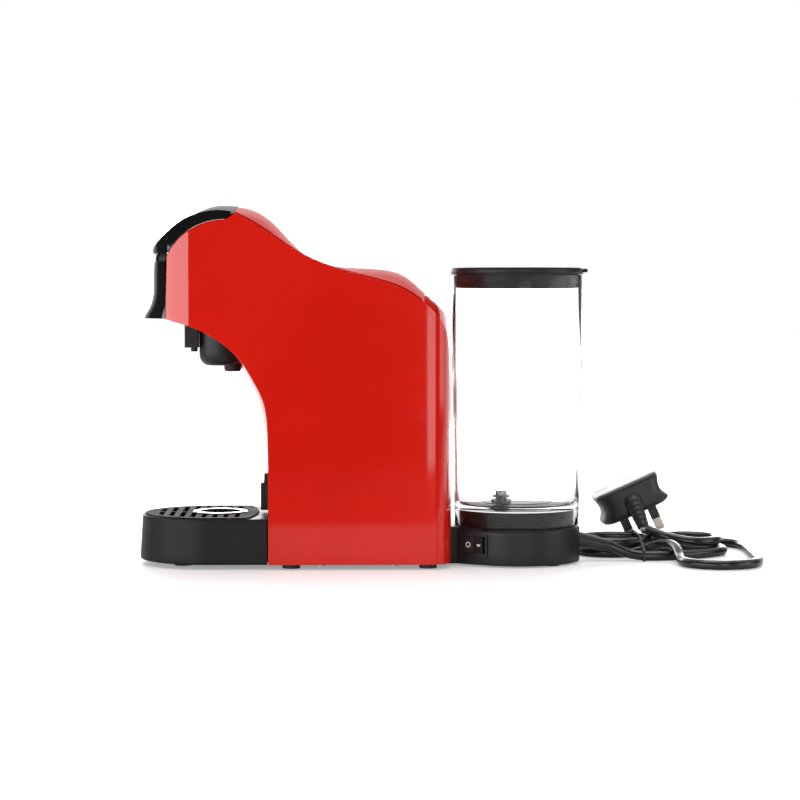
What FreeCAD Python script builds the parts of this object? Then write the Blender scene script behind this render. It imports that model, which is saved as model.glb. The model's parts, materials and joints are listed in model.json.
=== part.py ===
"""Capsule espresso machine with a lift-up brew head, a slide-out drip tray and a round water tank.

Millimetres, +Z up, the front faces -X and the water tank stands at +X. The origin is on the surface
that the machine stands on, at the middle of the machine's length and width. Each function below makes
one piece, and main() writes each piece to parts/NODE.step.
"""
import FreeCAD
import Part
import math
import os

# ---------------------------------------------------------------- driving sizes: shells
body_width = 104.0            # outside, side panel to side panel
shell_wall = 2.5              # wall of every red shell and of the lid
foot_height = 3.5             # shells end this far above the table
column_front_x = -65.4        # front face of the upright column
column_top_z = 96.0           # where the column starts to sweep forward into the head
rear_seam_x = 49.6            # side panels meet the rear cover here
back_x = 60.7                 # middle of the convex back
head_x = -94.3                # centre of the round head, side view
head_z = 194.2
head_radius = 44.1
head_front_x = -135.0         # front edge of the side panels
head_bottom_z = 171.0
nose_flat_x = -115.0          # side faces are flat behind this and curve inwards ahead of it
nose_x = -147.5               # middle of the rounded nose
nose_power = 2.5
back_flat_x = 40.0            # side faces are flat ahead of this and curve inwards behind it
back_power = 4.0
lid_seam_x = -86.0            # lid meets the spine cover here
lid_seam_z = 250.8
lid_lap = 4.3                 # the spine cover's front edge runs this far under the lid
seam_drop = 1.9               # and slopes down by this much there
spine_peak_z = 243.1          # top edge of the side panels at the lid seam

# ---------------------------------------------------------------- clearances
seam = 0.10                   # flat faces of one housing
gap = 0.30                    # faces that move past each other
pin_fit = 0.06                # a pin in a hole that turns on it, on the radius

# ---------------------------------------------------------------- lid, handle and plunger
lid_hinge_x = -70.0
lid_hinge_z = 231.0
lid_pin_radius = 2.5
trim_depth = 0.7
zone_rise = 15.9              # the rear cover's space reaches this far over the top seam
zone_reach = 40.4             # and this far behind the side panels
crown_floor_z = 150.0         # crowned bodies are filled down to here
head_top_z = 230.0            # height that bores through the top covers reach
lid_bottom_z = 215.6
arm_inner_y = 24.0
arm_thickness = 4.0
handle_pivot_x = -137.0
handle_pivot_z = 212.0
handle_pin_radius = 1.8
handle_eye_radius = 3.4
handle_top_z = 209.6
handle_bottom_z = 171.3
handle_wall = 2.5
handle_lug_y = 30.0
lug_thickness = 4.0
lip_reach = 6.5               # the pull lip stands this far out past the nose
plunger_radius = 19.0
plunger_gap = 1.5             # from the chamber's rim up to the plunger's disc
plunger_disc = 3.5
stem_radius = 5.0
stem_top_z = 224.0
bridge_z = 215.0
bridge_height = 4.0

# ---------------------------------------------------------------- brew chamber and outlet
chamber_x = -99.0
chamber_radius = 24.0
chamber_bore = 19.5
chamber_bottom_z = 174.0
chamber_top_z = 205.0
chamber_floor = 3.0
flange_z = 178.0
flange_height = 3.0
outlet_hole = 3.0
bowl_radius = 15.75
bowl_bottom_z = 138.0
bowl_wall = 2.0
spout_x = -91.5
spout_radius = 6.0
spout_bore = 3.2
spout_bottom_z = 133.8
block_front_x = -124.3
block_bottom_z = 150.6
block_width = 22.0

# ---------------------------------------------------------------- chassis and works
plate_thickness = 2.5
frame_inner_y = 34.0
frame_thickness = 3.0
boiler_radius = 22.0
boiler_length = 72.0
boiler_x = 2.0
boiler_z = 108.0
pump_radius = 17.0
pump_length = 52.0
pump_z = 44.0
pump_x = -30.0
board_thickness = 1.6
board_front_x = -48.0
board_rear_x = 30.0
board_bottom_z = 20.0
board_top_z = 81.5
hose_radius = 3.0
button_x = 5.0
button_pitch = 24.0
button_radius = 7.5
button_travel = 1.5
bezel_wall = 2.0
switch_tray_z = 194.0         # underside of the tray that carries the brew buttons
switch_tray_thickness = 2.0
switch_tray_half = 12.0

# ---------------------------------------------------------------- drip tray
tray_side_step = 2.5          # the tray's sides stand in from the housing's by this
tray_width = body_width - 2 * tray_side_step
tray_nose_x = -156.4
tray_rear_x = -66.4
tray_bottom_z = 3.3
tray_top_z = 34.4
tray_draft = 1.8              # the tray's top is this much smaller all round than its foot
tray_wall = 2.0
tray_floor_z = 6.2
grid_thickness = 2.2
grid_hole_radius = 14.5
grid_ring_radius = 19.0
grid_x = -100.5
slot_width = 3.6
slot_pitch = 7.6
tongue_width = 70.0
post_front_x = -71.8
post_width = 24.0
post_bottom_z = 37.4
post_shoulder_z = 56.4
post_top_z = 62.8

# ---------------------------------------------------------------- water tank and its base
tank_x = back_x + 46.7
tank_top_radius = 46.3
tank_bottom_radius = 43.6
tank_wall = 2.2
tank_bottom_z = 26.9
tank_floor_z = 38.4
tank_floor = 2.2
tank_rim_z = 201.2
tank_lid_radius = tank_top_radius + 0.3
tank_lid_top_z = 206.3
tank_lid_depth = 14.7
tank_tab_x = tank_x + 49.0
base_radius = 44.3
base_wall = 2.2
base_top_z = 26.6
base_bottom_z = 1.2
seat_radius = 40.0
facet_front_x = tank_x - 42.9
facet_rear_x = tank_x - 19.8
facet_angle = 33.0            # degrees that the switch face turns towards the front
neck_half_y = 23.4
valve_x = tank_x - 10.8
valve_radius = 5.0
valve_flange_radius = 7.0
valve_bottom_z = 31.0
valve_top_z = 49.5
valve_bore = 2.5
poppet_radius = 2.2
poppet_travel = 1.5
switch_width = 21.0
switch_height = 15.0
switch_depth = 14.0
rocker_width = 17.4
rocker_height = 11.2
pivot_radius = 1.2
pivot_length = 0.9            # past the rocker's end
pivot_depth = 2.5             # behind the switch face
switch_z = 15.0

# ---------------------------------------------------------------- mains cord and plug
cord_radius = 3.4
gland_z = 15.0
gland_reach = 22.0


# ---------------------------------------------------------------- helpers
def vec(x, y, z):
    """Short form of a FreeCAD vector."""
    return FreeCAD.Vector(x, y, z)


def block(x0, x1, y0, y1, z0, z1):
    """A rectangular solid between two corners."""
    return Part.makeBox(x1 - x0, y1 - y0, z1 - z0, vec(x0, y0, z0))


def rod(radius, start, end):
    """A round rod from one point to another."""
    line = vec(*end) - vec(*start)
    return Part.makeCylinder(radius, line.Length, vec(*start), line)


def disc(radius, x, z0, z1, y=0.0):
    """An upright round solid."""
    return Part.makeCylinder(radius, z1 - z0, vec(x, y, z0))


def tube(outer, inner, x, z0, z1, y=0.0):
    """An upright round tube."""
    return disc(outer, x, z0, z1, y).cut(disc(inner, x, z0 - 1, z1 + 1, y))


def cone(r0, r1, x, z0, z1, y=0.0):
    """An upright solid whose radius runs from r0 at z0 to r1 at z1."""
    return Part.makeCone(r0, r1, z1 - z0, vec(x, y, z0))


def spline(points):
    """A smooth edge through the points."""
    curve = Part.BSplineCurve()
    curve.interpolate([vec(*point) for point in points])
    return curve.toShape()


def side_prism(edges, y0, y1):
    """Edges drawn in the XZ plane at y=0, closed to a face and carried from y0 to y1."""
    face = Part.Face(Part.Wire(Part.__sortEdges__(edges)))
    face.translate(vec(0, y0, 0))
    return face.extrude(vec(0, y1 - y0, 0))


def side_polygon(points, y0, y1):
    """A straight-sided outline in the XZ plane carried from y0 to y1."""
    corners = [vec(x, 0, z) for x, z in points]
    face = Part.Face(Part.makePolygon(corners + corners[:1]))
    face.translate(vec(0, y0, 0))
    return face.extrude(vec(0, y1 - y0, 0))


def pair(shape):
    """A solid and its mirror image across the machine's middle plane."""
    return [shape, shape.mirror(vec(0, 0, 0), vec(0, 1, 0))]


def group(shapes):
    """Separate solids kept as one piece's group."""
    return Part.makeCompound([solid for shape in shapes for solid in shape.Solids])


def one(shape):
    """The shape with the seams between its fused parts cleaned away."""
    return shape.removeSplitter()


# ---------------------------------------------------------------- outlines of the housing
def end_curve(flat_x, tip_x, half, power, count=8):
    """Rounded end in plan: a superellipse from (flat_x, -half) round the tip to (flat_x, half)."""
    points = []
    for step in range(-count, count + 1):
        turn = math.pi / 2 * step / count
        across = abs(math.sin(turn)) ** (2 / power) * half
        along = math.cos(turn) ** (2 / power) * (tip_x - flat_x) if abs(step) < count else 0.0
        points.append((flat_x + along, math.copysign(across, turn) if step else 0.0, 0))
    return points


def plan_prism(inset, z0=0.0, z1=300.0):
    """The housing's outline from above, drawn in by inset, carried from z0 to z1."""
    half = body_width / 2 - inset
    nose = end_curve(nose_flat_x, nose_x + inset, half, nose_power)
    back = end_curve(back_flat_x, back_x - inset, half, back_power)
    edges = [spline(nose), spline(back)]
    for side in (0, -1):
        edges.append(Part.makeLine(vec(*nose[side]), vec(*back[side])))
    face = Part.Face(Part.Wire(Part.__sortEdges__(edges)))
    face.translate(vec(0, 0, z0))
    return face.extrude(vec(0, 0, z1 - z0))


def nose_half(x, inset=0.0):
    """Half the housing's width at x ahead of the flat side faces."""
    along = (nose_flat_x - x) / (nose_flat_x - nose_x - inset)
    return (body_width / 2 - inset) * (1 - along ** nose_power) ** (1 / nose_power)


def crown(y):
    """How much of the crowned shells' rise is left at y: 1 in the middle, 0 at the side faces."""
    return 1 - (2 * y / body_width) ** 2


def shifted(points, depth):
    """Points of an open outline moved to its right-hand side by depth."""
    moved = []
    for index, (x, z) in enumerate(points):
        before = points[max(index - 1, 0)]
        after = points[min(index + 1, len(points) - 1)]
        dx, dz = after[0] - before[0], after[1] - before[1]
        size = math.hypot(dx, dz)
        moved.append((x + dz / size * depth, z - dx / size * depth))
    return moved


def crowned_strip(side, middle, half, wall, lap=0.0):
    """A shell across the machine: side outline at the edges, middle outline halfway, wall thick.

    A positive lap slants the first end and a negative one the last end, so that the inner surface
    ends that far ahead of the outer one."""
    wires = []
    for step in (-1.0, -0.5, 0.0, 0.5, 1.0):
        y = step * half
        rise = crown(y)
        outer = [(sx + rise * (mx - sx), sz + rise * (mz - sz)) for (sx, sz), (mx, mz) in zip(side, middle)]
        inner = shifted(outer, wall)
        if lap > 0:
            inner[0] = (outer[0][0] - lap, outer[0][1] - seam_drop)
        if lap < 0:
            inner[-1] = (outer[-1][0] + lap, outer[-1][1] - seam_drop)
        top = spline([(x, y, z) for x, z in outer])
        low = spline([(x, y, z) for x, z in inner])
        start = Part.makeLine(vec(inner[0][0], y, inner[0][1]), vec(outer[0][0], y, outer[0][1]))
        end = Part.makeLine(vec(outer[-1][0], y, outer[-1][1]), vec(inner[-1][0], y, inner[-1][1]))
        wires.append(Part.Wire([top, end, low, start]))
    return Part.makeLoft(wires, True, False)


def crowned_block(side, middle, half, floor_z, inset=0.0):
    """Everything under a crowned outline down to floor_z."""
    wires = []
    for step in (-1.0, -0.5, 0.0, 0.5, 1.0):
        y = step * half
        rise = crown(y)
        outer = [(sx + rise * (mx - sx), sz + rise * (mz - sz)) for (sx, sz), (mx, mz) in zip(side, middle)]
        if inset:
            outer = shifted(outer, inset)
        first, last = outer[0], outer[-1]
        corners = [(last[0], floor_z), (first[0], floor_z)]
        path = [last] + corners + [first]
        edges = [spline([(x, y, z) for x, z in outer])]
        for (xa, za), (xb, zb) in zip(path, path[1:]):
            edges.append(Part.makeLine(vec(xa, y, za), vec(xb, y, zb)))
        wires.append(Part.Wire(edges))
    return Part.makeLoft(wires, True, False)


SPINE_SIDE = [(lid_seam_x - 0.9, spine_peak_z), (-74.7, 236.5), (-63.0, 228.8), (-50.0, 220.0),
              (-36.8, 212.7), (-15.2, 204.6), (6.5, 198.6), (25.8, 192.2), (38.9, 184.0)]
SPINE_MIDDLE = [(lid_seam_x, lid_seam_z), (-73.5, 247.2), (-60.5, 239.2), (-48.0, 227.6),
                (-36.0, 218.0), (-15.3, 210.8), (8.0, 208.0), (27.5, 203.8), (44.9, 191.9)]
REAR_SIDE = [(25.8, 192.2), (38.9, 184.0), (47.0, 176.8), (53.0, 168.0), (56.0, 157.0), (57.0, 145.0)]
REAR_MIDDLE = [(27.5, 203.8), (44.9, 191.9), (back_x - 8.7, 184.0),
               (back_x - 3.1, 175.5), (back_x - 0.5, 163.0), (back_x, 145.0)]
UNDER_SIDE = [(column_front_x, column_top_z), (-66.2, 107.2), (-69.2, 118.0), (-74.7, 128.9),
              (-85.0, 144.2), (-94.7, 153.1), (-112.9, 163.9), (head_front_x, head_bottom_z)]
LID_SIDE = [(-145.5, lid_bottom_z), (-139.8, 222.8), (-131.5, 231.6), (-122.0, 238.8),
            (-110.5, 243.4), (-98.0, 245.0), (lid_seam_x - 1.0, spine_peak_z + 0.4)]
LID_MIDDLE = [(-146.2, lid_bottom_z), (-142.7, 223.0), (-135.5, 231.1), (-125.5, 241.3),
              (-112.5, 248.9), (-99.0, 251.8), (lid_seam_x - 0.3, lid_seam_z + 0.3)]


def head_arc(radius, start_x, end_x):
    """Arc about the head's centre, over the top from start_x to end_x."""
    start = math.acos((start_x - head_x) / radius)
    end = math.acos((end_x - head_x) / radius)
    ends = []
    for angle in (start, (start + end) / 2, end):
        ends.append(vec(head_x + radius * math.cos(angle), 0, head_z + radius * math.sin(angle)))
    return Part.Arc(*ends).toShape(), ends[0], ends[2]


def side_outline():
    """Closed edges of the side panels' outline."""
    under = spline([(x, 0, z) for x, z in UNDER_SIDE])
    arc, nose, top = head_arc(head_radius, head_front_x + 1.2, head_x)
    meet_x, meet_z = SPINE_SIDE[0]
    rise = spline([(top.x, 0, top.z), (head_x + 4.0, 0, top.z + 2.4), (meet_x, 0, meet_z)])
    back = spline([(x, 0, z) for x, z in SPINE_SIDE])
    corners = [vec(SPINE_SIDE[-1][0], 0, SPINE_SIDE[-1][1]), vec(rear_seam_x, 0, 168.0),
               vec(rear_seam_x, 0, foot_height), vec(column_front_x, 0, foot_height),
               vec(column_front_x, 0, column_top_z)]
    edges = [under, arc, rise, back]
    edges.append(Part.makeLine(vec(head_front_x, 0, head_bottom_z), nose))
    for start, end in zip(corners, corners[1:]):
        edges.append(Part.makeLine(start, end))
    return edges


def rear_zone():
    """The space behind the seam between the side panels, the spine cover and the rear cover."""
    seam_points = [(rear_seam_x + seam, 0), (rear_seam_x + seam, 168.0), (38.9 + seam, 184.0),
                   (44.9 + seam, 191.9), (44.9 + seam + 0.75 * zone_rise, 191.9 + zone_rise),
                   (rear_seam_x + zone_reach, 191.9 + zone_rise), (rear_seam_x + zone_reach, 0)]
    return side_polygon(seam_points, -body_width, body_width)


# ---------------------------------------------------------------- red shells
def side_panels():
    """Both side panels: the side outline cut from a wall that follows the plan outline."""
    outline = side_prism(side_outline(), -body_width / 2, 0)
    wall = plan_prism(0).cut(plan_prism(shell_wall, -1, 301))
    panel = outline.common(wall)
    return pair(panel)


def spine_cover():
    """Crowned red cover over the top, from the lid seam to the rear cover."""
    half = body_width / 2 - shell_wall - seam
    strip = crowned_strip(SPINE_SIDE, SPINE_MIDDLE, half, shell_wall, lid_lap)
    strip = strip.cut(rear_zone())
    for side in (-1, 1):
        bore = button_radius + bezel_wall + seam
        strip = strip.cut(disc(bore, button_x, 190, 230, side * button_pitch / 2))
    return strip


def rear_cover():
    """Red back shell with rounded upright corners."""
    half = body_width / 2
    outer = crowned_block(REAR_SIDE, REAR_MIDDLE, half, foot_height).common(plan_prism(0)).common(rear_zone())
    inner = crowned_block(REAR_SIDE, REAR_MIDDLE, half, foot_height - 1, shell_wall)
    inner = inner.common(plan_prism(shell_wall))
    shell = outer.cut(inner)
    opening = neck_half_y + 2.0
    return shell.cut(block(0, 90, -opening, opening, 0, base_top_z + gap))


def front_cover():
    """Red cover of the column's front that sweeps forward under the head."""
    half = body_width / 2 - shell_wall - seam
    side = [(column_front_x, foot_height), (column_front_x, 30.0), (column_front_x, 65.0)] + UNDER_SIDE
    push = [0, 0, 0.8, 6.0, 7.0, 7.0, 6.0, 3.5, 1.6, 0.4, 0.0]
    middle = [(x - 0.94 * p, z - 0.34 * p * (z > 120)) for (x, z), p in zip(side, push)]
    strip = crowned_strip(side, middle, half, shell_wall)
    strip = strip.common(plan_prism(shell_wall + seam))
    strip = strip.cut(disc(bowl_radius + 2 * gap, chamber_x, 100, 200))
    slot = tongue_width / 2 + gap
    plate_top = foot_height + plate_thickness + gap
    strip = strip.cut(block(column_front_x - 5, column_front_x + 5, -slot, slot, 0, plate_top))
    half = block_width / 2 + gap
    return strip.cut(block(block_front_x - gap, chamber_x, -half, half, 140, 190))


def head_front_plate():
    """Black plate that closes the nose behind the lever handle."""
    rear_x = head_front_x + 5.0
    half = nose_half(rear_x - plate_thickness, shell_wall) - gap
    return block(rear_x - plate_thickness, rear_x, -half, half, head_bottom_z + 3.0, head_z + 8.0)


def side_trims():
    """Bright strips along the head's round edge, between the side panels and the lid."""
    inner, a, b = head_arc(head_radius + 0.02, head_front_x + 1.8, head_x - gap)
    outer, c, d = head_arc(head_radius + trim_depth, head_front_x + 1.0, head_x - gap)
    prism = side_prism([inner, outer, Part.makeLine(a, c), Part.makeLine(b, d)], -body_width / 2, 0)
    return group(pair(prism.common(plan_prism(0.2).cut(plan_prism(shell_wall, -1, 301)))))


# ---------------------------------------------------------------- lid, handle and plunger
def lid_cavity():
    """The hollow under the lid's shell."""
    hollow = crowned_block(LID_SIDE, LID_MIDDLE, body_width / 2, bridge_z - 20, shell_wall)
    return hollow.common(plan_prism(shell_wall))


def lid_shell():
    """Glossy black lid: a crowned arch with a band down each side of the round head."""
    arch = crowned_strip(LID_SIDE, LID_MIDDLE, body_width / 2, shell_wall, -lid_lap).common(plan_prism(0))
    low_radius = head_radius + trim_depth + gap
    reach = math.sqrt(low_radius ** 2 - (lid_bottom_z - head_z) ** 2)
    arc, nose, top = head_arc(low_radius, head_x - reach, head_x)
    last = LID_SIDE[-1]
    rise = spline([(top.x, 0, top.z), (top.x + 3.7, 0, top.z + 2.2), (last[0], 0, last[1])])
    outer = spline([(x, 0, z) for x, z in LID_SIDE])
    bottom = Part.makeLine(vec(LID_SIDE[0][0], 0, lid_bottom_z), nose)
    band = side_prism([arc, rise, outer, bottom], -body_width / 2, 0)
    band = band.common(plan_prism(0).cut(plan_prism(shell_wall, -1, 301)))
    both = pair(band)
    return one(arch.fuse(both[0]).fuse(both[1]))


def lid_frame():
    """Black carrier inside the lid: hinge arms, the plunger's guide and the lugs for the handle."""
    outer_y = arm_inner_y + arm_thickness
    frame = block(chamber_x - 17, chamber_x + 15, -outer_y, outer_y, bridge_z, bridge_z + bridge_height)
    elbow_x, elbow_z = chamber_x + 4, bridge_z + bridge_height / 2
    length = math.hypot(elbow_x - lid_hinge_x, elbow_z - lid_hinge_z)
    nx = (elbow_z - lid_hinge_z) / length * 3
    nz = (lid_hinge_x - elbow_x) / length * 3
    bar_outline = [(lid_hinge_x + nx, lid_hinge_z + nz), (elbow_x + nx, elbow_z + nz),
                   (elbow_x - nx, elbow_z - nz), (lid_hinge_x - nx, lid_hinge_z - nz)]
    cavity = lid_cavity()
    bores = [disc(stem_radius + pin_fit, chamber_x, bridge_z - 1, bridge_z + bridge_height + 1)]
    hinge = (lid_hinge_x, lid_hinge_z)
    bores.append(rod(lid_pin_radius + pin_fit, (hinge[0], -outer_y - 1, hinge[1]),
                     (hinge[0], outer_y + 1, hinge[1])))
    for y in (-outer_y, arm_inner_y):
        eye = rod(lid_pin_radius * 2, (hinge[0], y, hinge[1]), (hinge[0], y + arm_thickness, hinge[1]))
        post = block(chamber_x - 7, chamber_x + 1, y, y + arm_thickness, bridge_z, head_z + 70).common(cavity)
        frame = frame.fuse([side_polygon(bar_outline, y, y + arm_thickness), eye, post])
    return one(frame.cut(bores))


def lid_lugs():
    """Pair of lugs under the front of the lid that carry the handle's pin."""
    inner_y = handle_lug_y + lug_thickness + gap
    web = block(handle_pivot_x - 2, handle_pivot_x + handle_eye_radius, inner_y, inner_y + lug_thickness,
                handle_pivot_z, lid_bottom_z + 15).common(lid_cavity())
    eye = rod(handle_eye_radius, (handle_pivot_x, inner_y, handle_pivot_z),
              (handle_pivot_x, inner_y + lug_thickness, handle_pivot_z))
    bore = rod(handle_pin_radius, (handle_pivot_x, inner_y - 1, handle_pivot_z),
               (handle_pivot_x, inner_y + lug_thickness + 1, handle_pivot_z))
    return group(pair(one(web.fuse(eye).cut(bore))))


def handle_pin():
    """Bright pin that the lever handle turns on."""
    reach = handle_lug_y + 2 * lug_thickness + gap + 1.5
    return rod(handle_pin_radius, (handle_pivot_x, -reach, handle_pivot_z),
               (handle_pivot_x, reach, handle_pivot_z))


def lid_hinge_pin():
    """Steel pin between the chassis sides that the lid turns on."""
    reach = frame_inner_y + frame_thickness
    return rod(lid_pin_radius, (lid_hinge_x, -reach, lid_hinge_z), (lid_hinge_x, reach, lid_hinge_z))


def handle_form(inset, z0, z1):
    """The handle's solid form: it follows the rounded nose and flares to a pull lip at the bottom."""
    height = handle_top_z - handle_bottom_z
    flare = [(0.0, -lip_reach), (0.14, -0.5 * lip_reach), (0.28, -0.2), (0.5, 0.5), (0.76, 0.1), (1.0, 0.8)]
    back = head_front_x - gap + inset + 0.1
    half = nose_half(head_front_x - 0.1 - gap, inset)
    depth = nose_flat_x - nose_x - inset
    wires = []
    for share, reach in flare:
        z = min(max(handle_bottom_z + share * height, z0), z1)
        points = []
        for step in range(-6, 7):
            y = half * step / 6
            ahead = depth * (1 - abs(y / (body_width / 2 - inset)) ** nose_power) ** (1 / nose_power)
            points.append((nose_flat_x - ahead + reach * (1 - (y / half) ** 2), y, z))
        front = spline(points)
        ends = [vec(*points[0]), vec(back, -half, z), vec(back, half, z), vec(*points[-1])]
        edges = [front] + [Part.makeLine(a, b) for a, b in zip(ends, ends[1:])]
        wires.append(Part.Wire(Part.__sortEdges__(edges)))
    return Part.makeLoft(wires, True, False)


def lever_handle():
    """Glossy black lever at the nose, hollow at the back, with two lugs round the pin."""
    shell = handle_form(0.0, 0, 300).cut(handle_form(handle_wall, handle_bottom_z + handle_wall,
                                                     handle_top_z - handle_wall))
    form = handle_form(0.0, 0, 300)
    for y in (-handle_lug_y - lug_thickness, handle_lug_y):
        web = block(nose_x, head_front_x - gap, y, y + lug_thickness, handle_top_z - 12, handle_top_z)
        web = web.common(form)
        rise = block(handle_pivot_x - handle_eye_radius, head_front_x - gap, y, y + lug_thickness,
                     handle_top_z - 1, handle_pivot_z)
        eye = rod(handle_eye_radius, (handle_pivot_x, y, handle_pivot_z),
                  (handle_pivot_x, y + lug_thickness, handle_pivot_z))
        bore = rod(handle_pin_radius + pin_fit, (handle_pivot_x, y - 1, handle_pivot_z),
                   (handle_pivot_x, y + lug_thickness + 1, handle_pivot_z))
        notch_y = y - lug_thickness - 2 * gap if y < 0 else y + lug_thickness
        notch = rod(handle_eye_radius + gap, (handle_pivot_x, notch_y, handle_pivot_z),
                    (handle_pivot_x, notch_y + lug_thickness + 2 * gap, handle_pivot_z))
        shell = shell.fuse([web, rise, eye]).cut(bore).cut(notch)
    return one(shell)


def brew_plunger():
    """Disc on a stem that closes the chamber; the handle draws it up as it swings out."""
    low = chamber_top_z + plunger_gap
    plate = disc(plunger_radius, chamber_x, low, low + plunger_disc)
    stem = disc(stem_radius, chamber_x, low + plunger_disc, stem_top_z)
    return one(plate.fuse(stem))


def plunger_seal():
    """Rubber ring under the plunger."""
    low = chamber_top_z + plunger_gap
    return tube(plunger_radius, plunger_radius - 4, chamber_x, chamber_top_z + gap, low)


def piercing_needle():
    """Hollow steel needle under the plunger."""
    low = chamber_top_z + plunger_gap
    needle = disc(1.4, chamber_x, low - 6, low).fuse(cone(0.3, 1.4, chamber_x, low - 9, low - 6))
    return one(needle)


# ---------------------------------------------------------------- brew chamber and outlet
def brew_chamber():
    """Cup that holds the capsule, with a flange between the chassis sides and a collar for the bowl."""
    collar = bowl_radius - bowl_wall - seam
    body = disc(chamber_radius, chamber_x, chamber_bottom_z, chamber_top_z)
    body = body.fuse(cone(collar, chamber_radius, chamber_x, chamber_bottom_z - 6, chamber_bottom_z))
    body = body.fuse(disc(collar, chamber_x, chamber_bottom_z - 12, chamber_bottom_z - 6))
    flange_y = frame_inner_y - seam
    body = body.fuse(block(chamber_x - 25, chamber_x + 25, -flange_y, flange_y,
                           flange_z, flange_z + flange_height))
    body = body.cut(disc(chamber_bore, chamber_x, chamber_bottom_z + chamber_floor, chamber_top_z + 1))
    return one(body.cut(disc(outlet_hole, chamber_x, 100, 300)))


def outlet_bowl():
    """Black round bowl under the head that leads the coffee to the spout."""
    top = chamber_bottom_z - 8
    outer = disc(bowl_radius, chamber_x, bowl_bottom_z + 6, top)
    outer = outer.fuse(cone(bowl_radius - 4, bowl_radius, chamber_x, bowl_bottom_z, bowl_bottom_z + 6))
    inner = disc(bowl_radius - bowl_wall, chamber_x, bowl_bottom_z + 8, top + 1)
    return one(outer.cut(inner).cut(disc(spout_radius, spout_x, 100, bowl_bottom_z + 10)))


def spout():
    """Short round spout pushed up into the bowl's floor."""
    body = disc(spout_radius, spout_x, spout_bottom_z + 2, bowl_bottom_z + 8)
    body = body.fuse(cone(spout_radius - 1, spout_radius, spout_x, spout_bottom_z, spout_bottom_z + 2))
    return one(body.cut(disc(spout_bore, spout_x, 100, 200)))


def outlet_bracket():
    """Grey bracket ahead of the bowl, with a round screw head under it."""
    half = block_width / 2
    body = block(block_front_x, chamber_x - bowl_radius - gap, -half, half, block_bottom_z, chamber_bottom_z)
    body = body.cut(brew_chamber())
    body = body.fuse(disc(2.4, block_front_x + 6, block_bottom_z - 3, block_bottom_z + 1))
    return one(body)


# ---------------------------------------------------------------- chassis and works
def facet_line(inset):
    """Ends of the switch face, drawn in by inset: the rear one lies on the base's round."""
    turn = math.radians(facet_angle)
    rear_y = math.sqrt(base_radius ** 2 - (tank_x - facet_rear_x) ** 2)
    front_y = rear_y - (facet_rear_x - facet_front_x) * math.tan(turn)
    drop = inset / math.cos(turn)
    return rear_y - drop, front_y - drop


def base_prism(inset, z0, z1):
    """Tank base from above: a round, with flat faces that run in to a neck at the machine's back."""
    rear_y, front_y = facet_line(inset)
    neck = neck_half_y - inset
    end_x = back_x - 3 * shell_wall
    half = [(end_x, neck), (facet_front_x, front_y), (facet_rear_x, rear_y), (tank_x, rear_y)]
    corners = [vec(x, y, z0) for x, y in half] + [vec(x, -y, z0) for x, y in reversed(half)]
    web = Part.Face(Part.makePolygon(corners + corners[:1])).extrude(vec(0, 0, z1 - z0))
    outside = [vec(facet_rear_x, rear_y, z0), vec(facet_front_x, front_y, z0), vec(facet_front_x, 90, z0),
               vec(facet_rear_x, 90, z0)]
    wedge = Part.Face(Part.makePolygon(outside + outside[:1])).extrude(vec(0, 0, z1 - z0))
    return disc(base_radius - inset, tank_x, z0, z1).cut(pair(wedge)).fuse(web)


def on_facet(shape):
    """Moves a shape drawn about the origin, facing -Y, to the middle of the switch face."""
    rear_y, front_y = facet_line(0)
    mid_x, mid_y = (facet_rear_x + facet_front_x) / 2, -(rear_y + front_y) / 2
    placed = shape.copy()
    placed.rotate(vec(0, 0, 0), vec(0, 0, 1), -facet_angle)
    placed.translate(vec(mid_x, mid_y, switch_z))
    return placed


def switch_body(margin):
    """The part of the switch that passes through the tank base's wall."""
    half_w, half_h = switch_width / 2 - 1 + margin, switch_height / 2 - 1 + margin
    return block(-half_w, half_w, 0, switch_depth, -half_h, half_h)


def switch_housing():
    """Frame and body of the mains rocker switch, with two blind holes for the rocker's pivots."""
    bezel = block(-switch_width / 2, switch_width / 2, -1.2, 0, -switch_height / 2, switch_height / 2)
    well = block(-rocker_width / 2 - gap, rocker_width / 2 + gap, -2, 9, -rocker_height / 2 - gap,
                 rocker_height / 2 + gap)
    pivots = rocker_pivots(pin_fit, pivot_length + gap)
    return on_facet(one(bezel.fuse(switch_body(0)).cut(well).cut(pivots)))


def rocker_pivots(margin, length):
    """Round pivots at the rocker's two ends, drawn about the origin."""
    reach = rocker_height / 2 + length
    return rod(pivot_radius + margin, (0, pivot_depth, -reach), (0, pivot_depth, reach))


def power_rocker():
    """Rocker with its front end pressed in."""
    end = rocker_width / 2 - 0.4
    points = [(-end, -1.6), (0, -0.6), (end, -1.6), (end - 2.5, 5.0), (0, 6.5), (2.5 - end, 5.0)]
    face = Part.Face(Part.makePolygon([vec(x, y, -rocker_height / 2) for x, y in points + points[:1]]))
    rocker = face.extrude(vec(0, 0, rocker_height))
    rocker.rotate(vec(0, pivot_depth, 0), vec(0, 0, 1), -7)
    return on_facet(one(rocker.fuse(rocker_pivots(0, pivot_length))))


def tank_base():
    """Black round base under the tank; its neck joins the machine's back."""
    top = base_prism(0, base_bottom_z, base_top_z).cut(base_prism(base_wall, 0, base_top_z - base_wall))
    top = top.cut(disc(valve_flange_radius, valve_x, 10, 40))
    top = top.cut(rod(cord_radius + 2.2, (tank_x, 0, gland_z), (cord_exit_x + 10, 0, gland_z)))
    return one(top.cut(on_facet(switch_body(seam).fuse(block(-1, 1, -1, 1, -1, 1)))))


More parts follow.
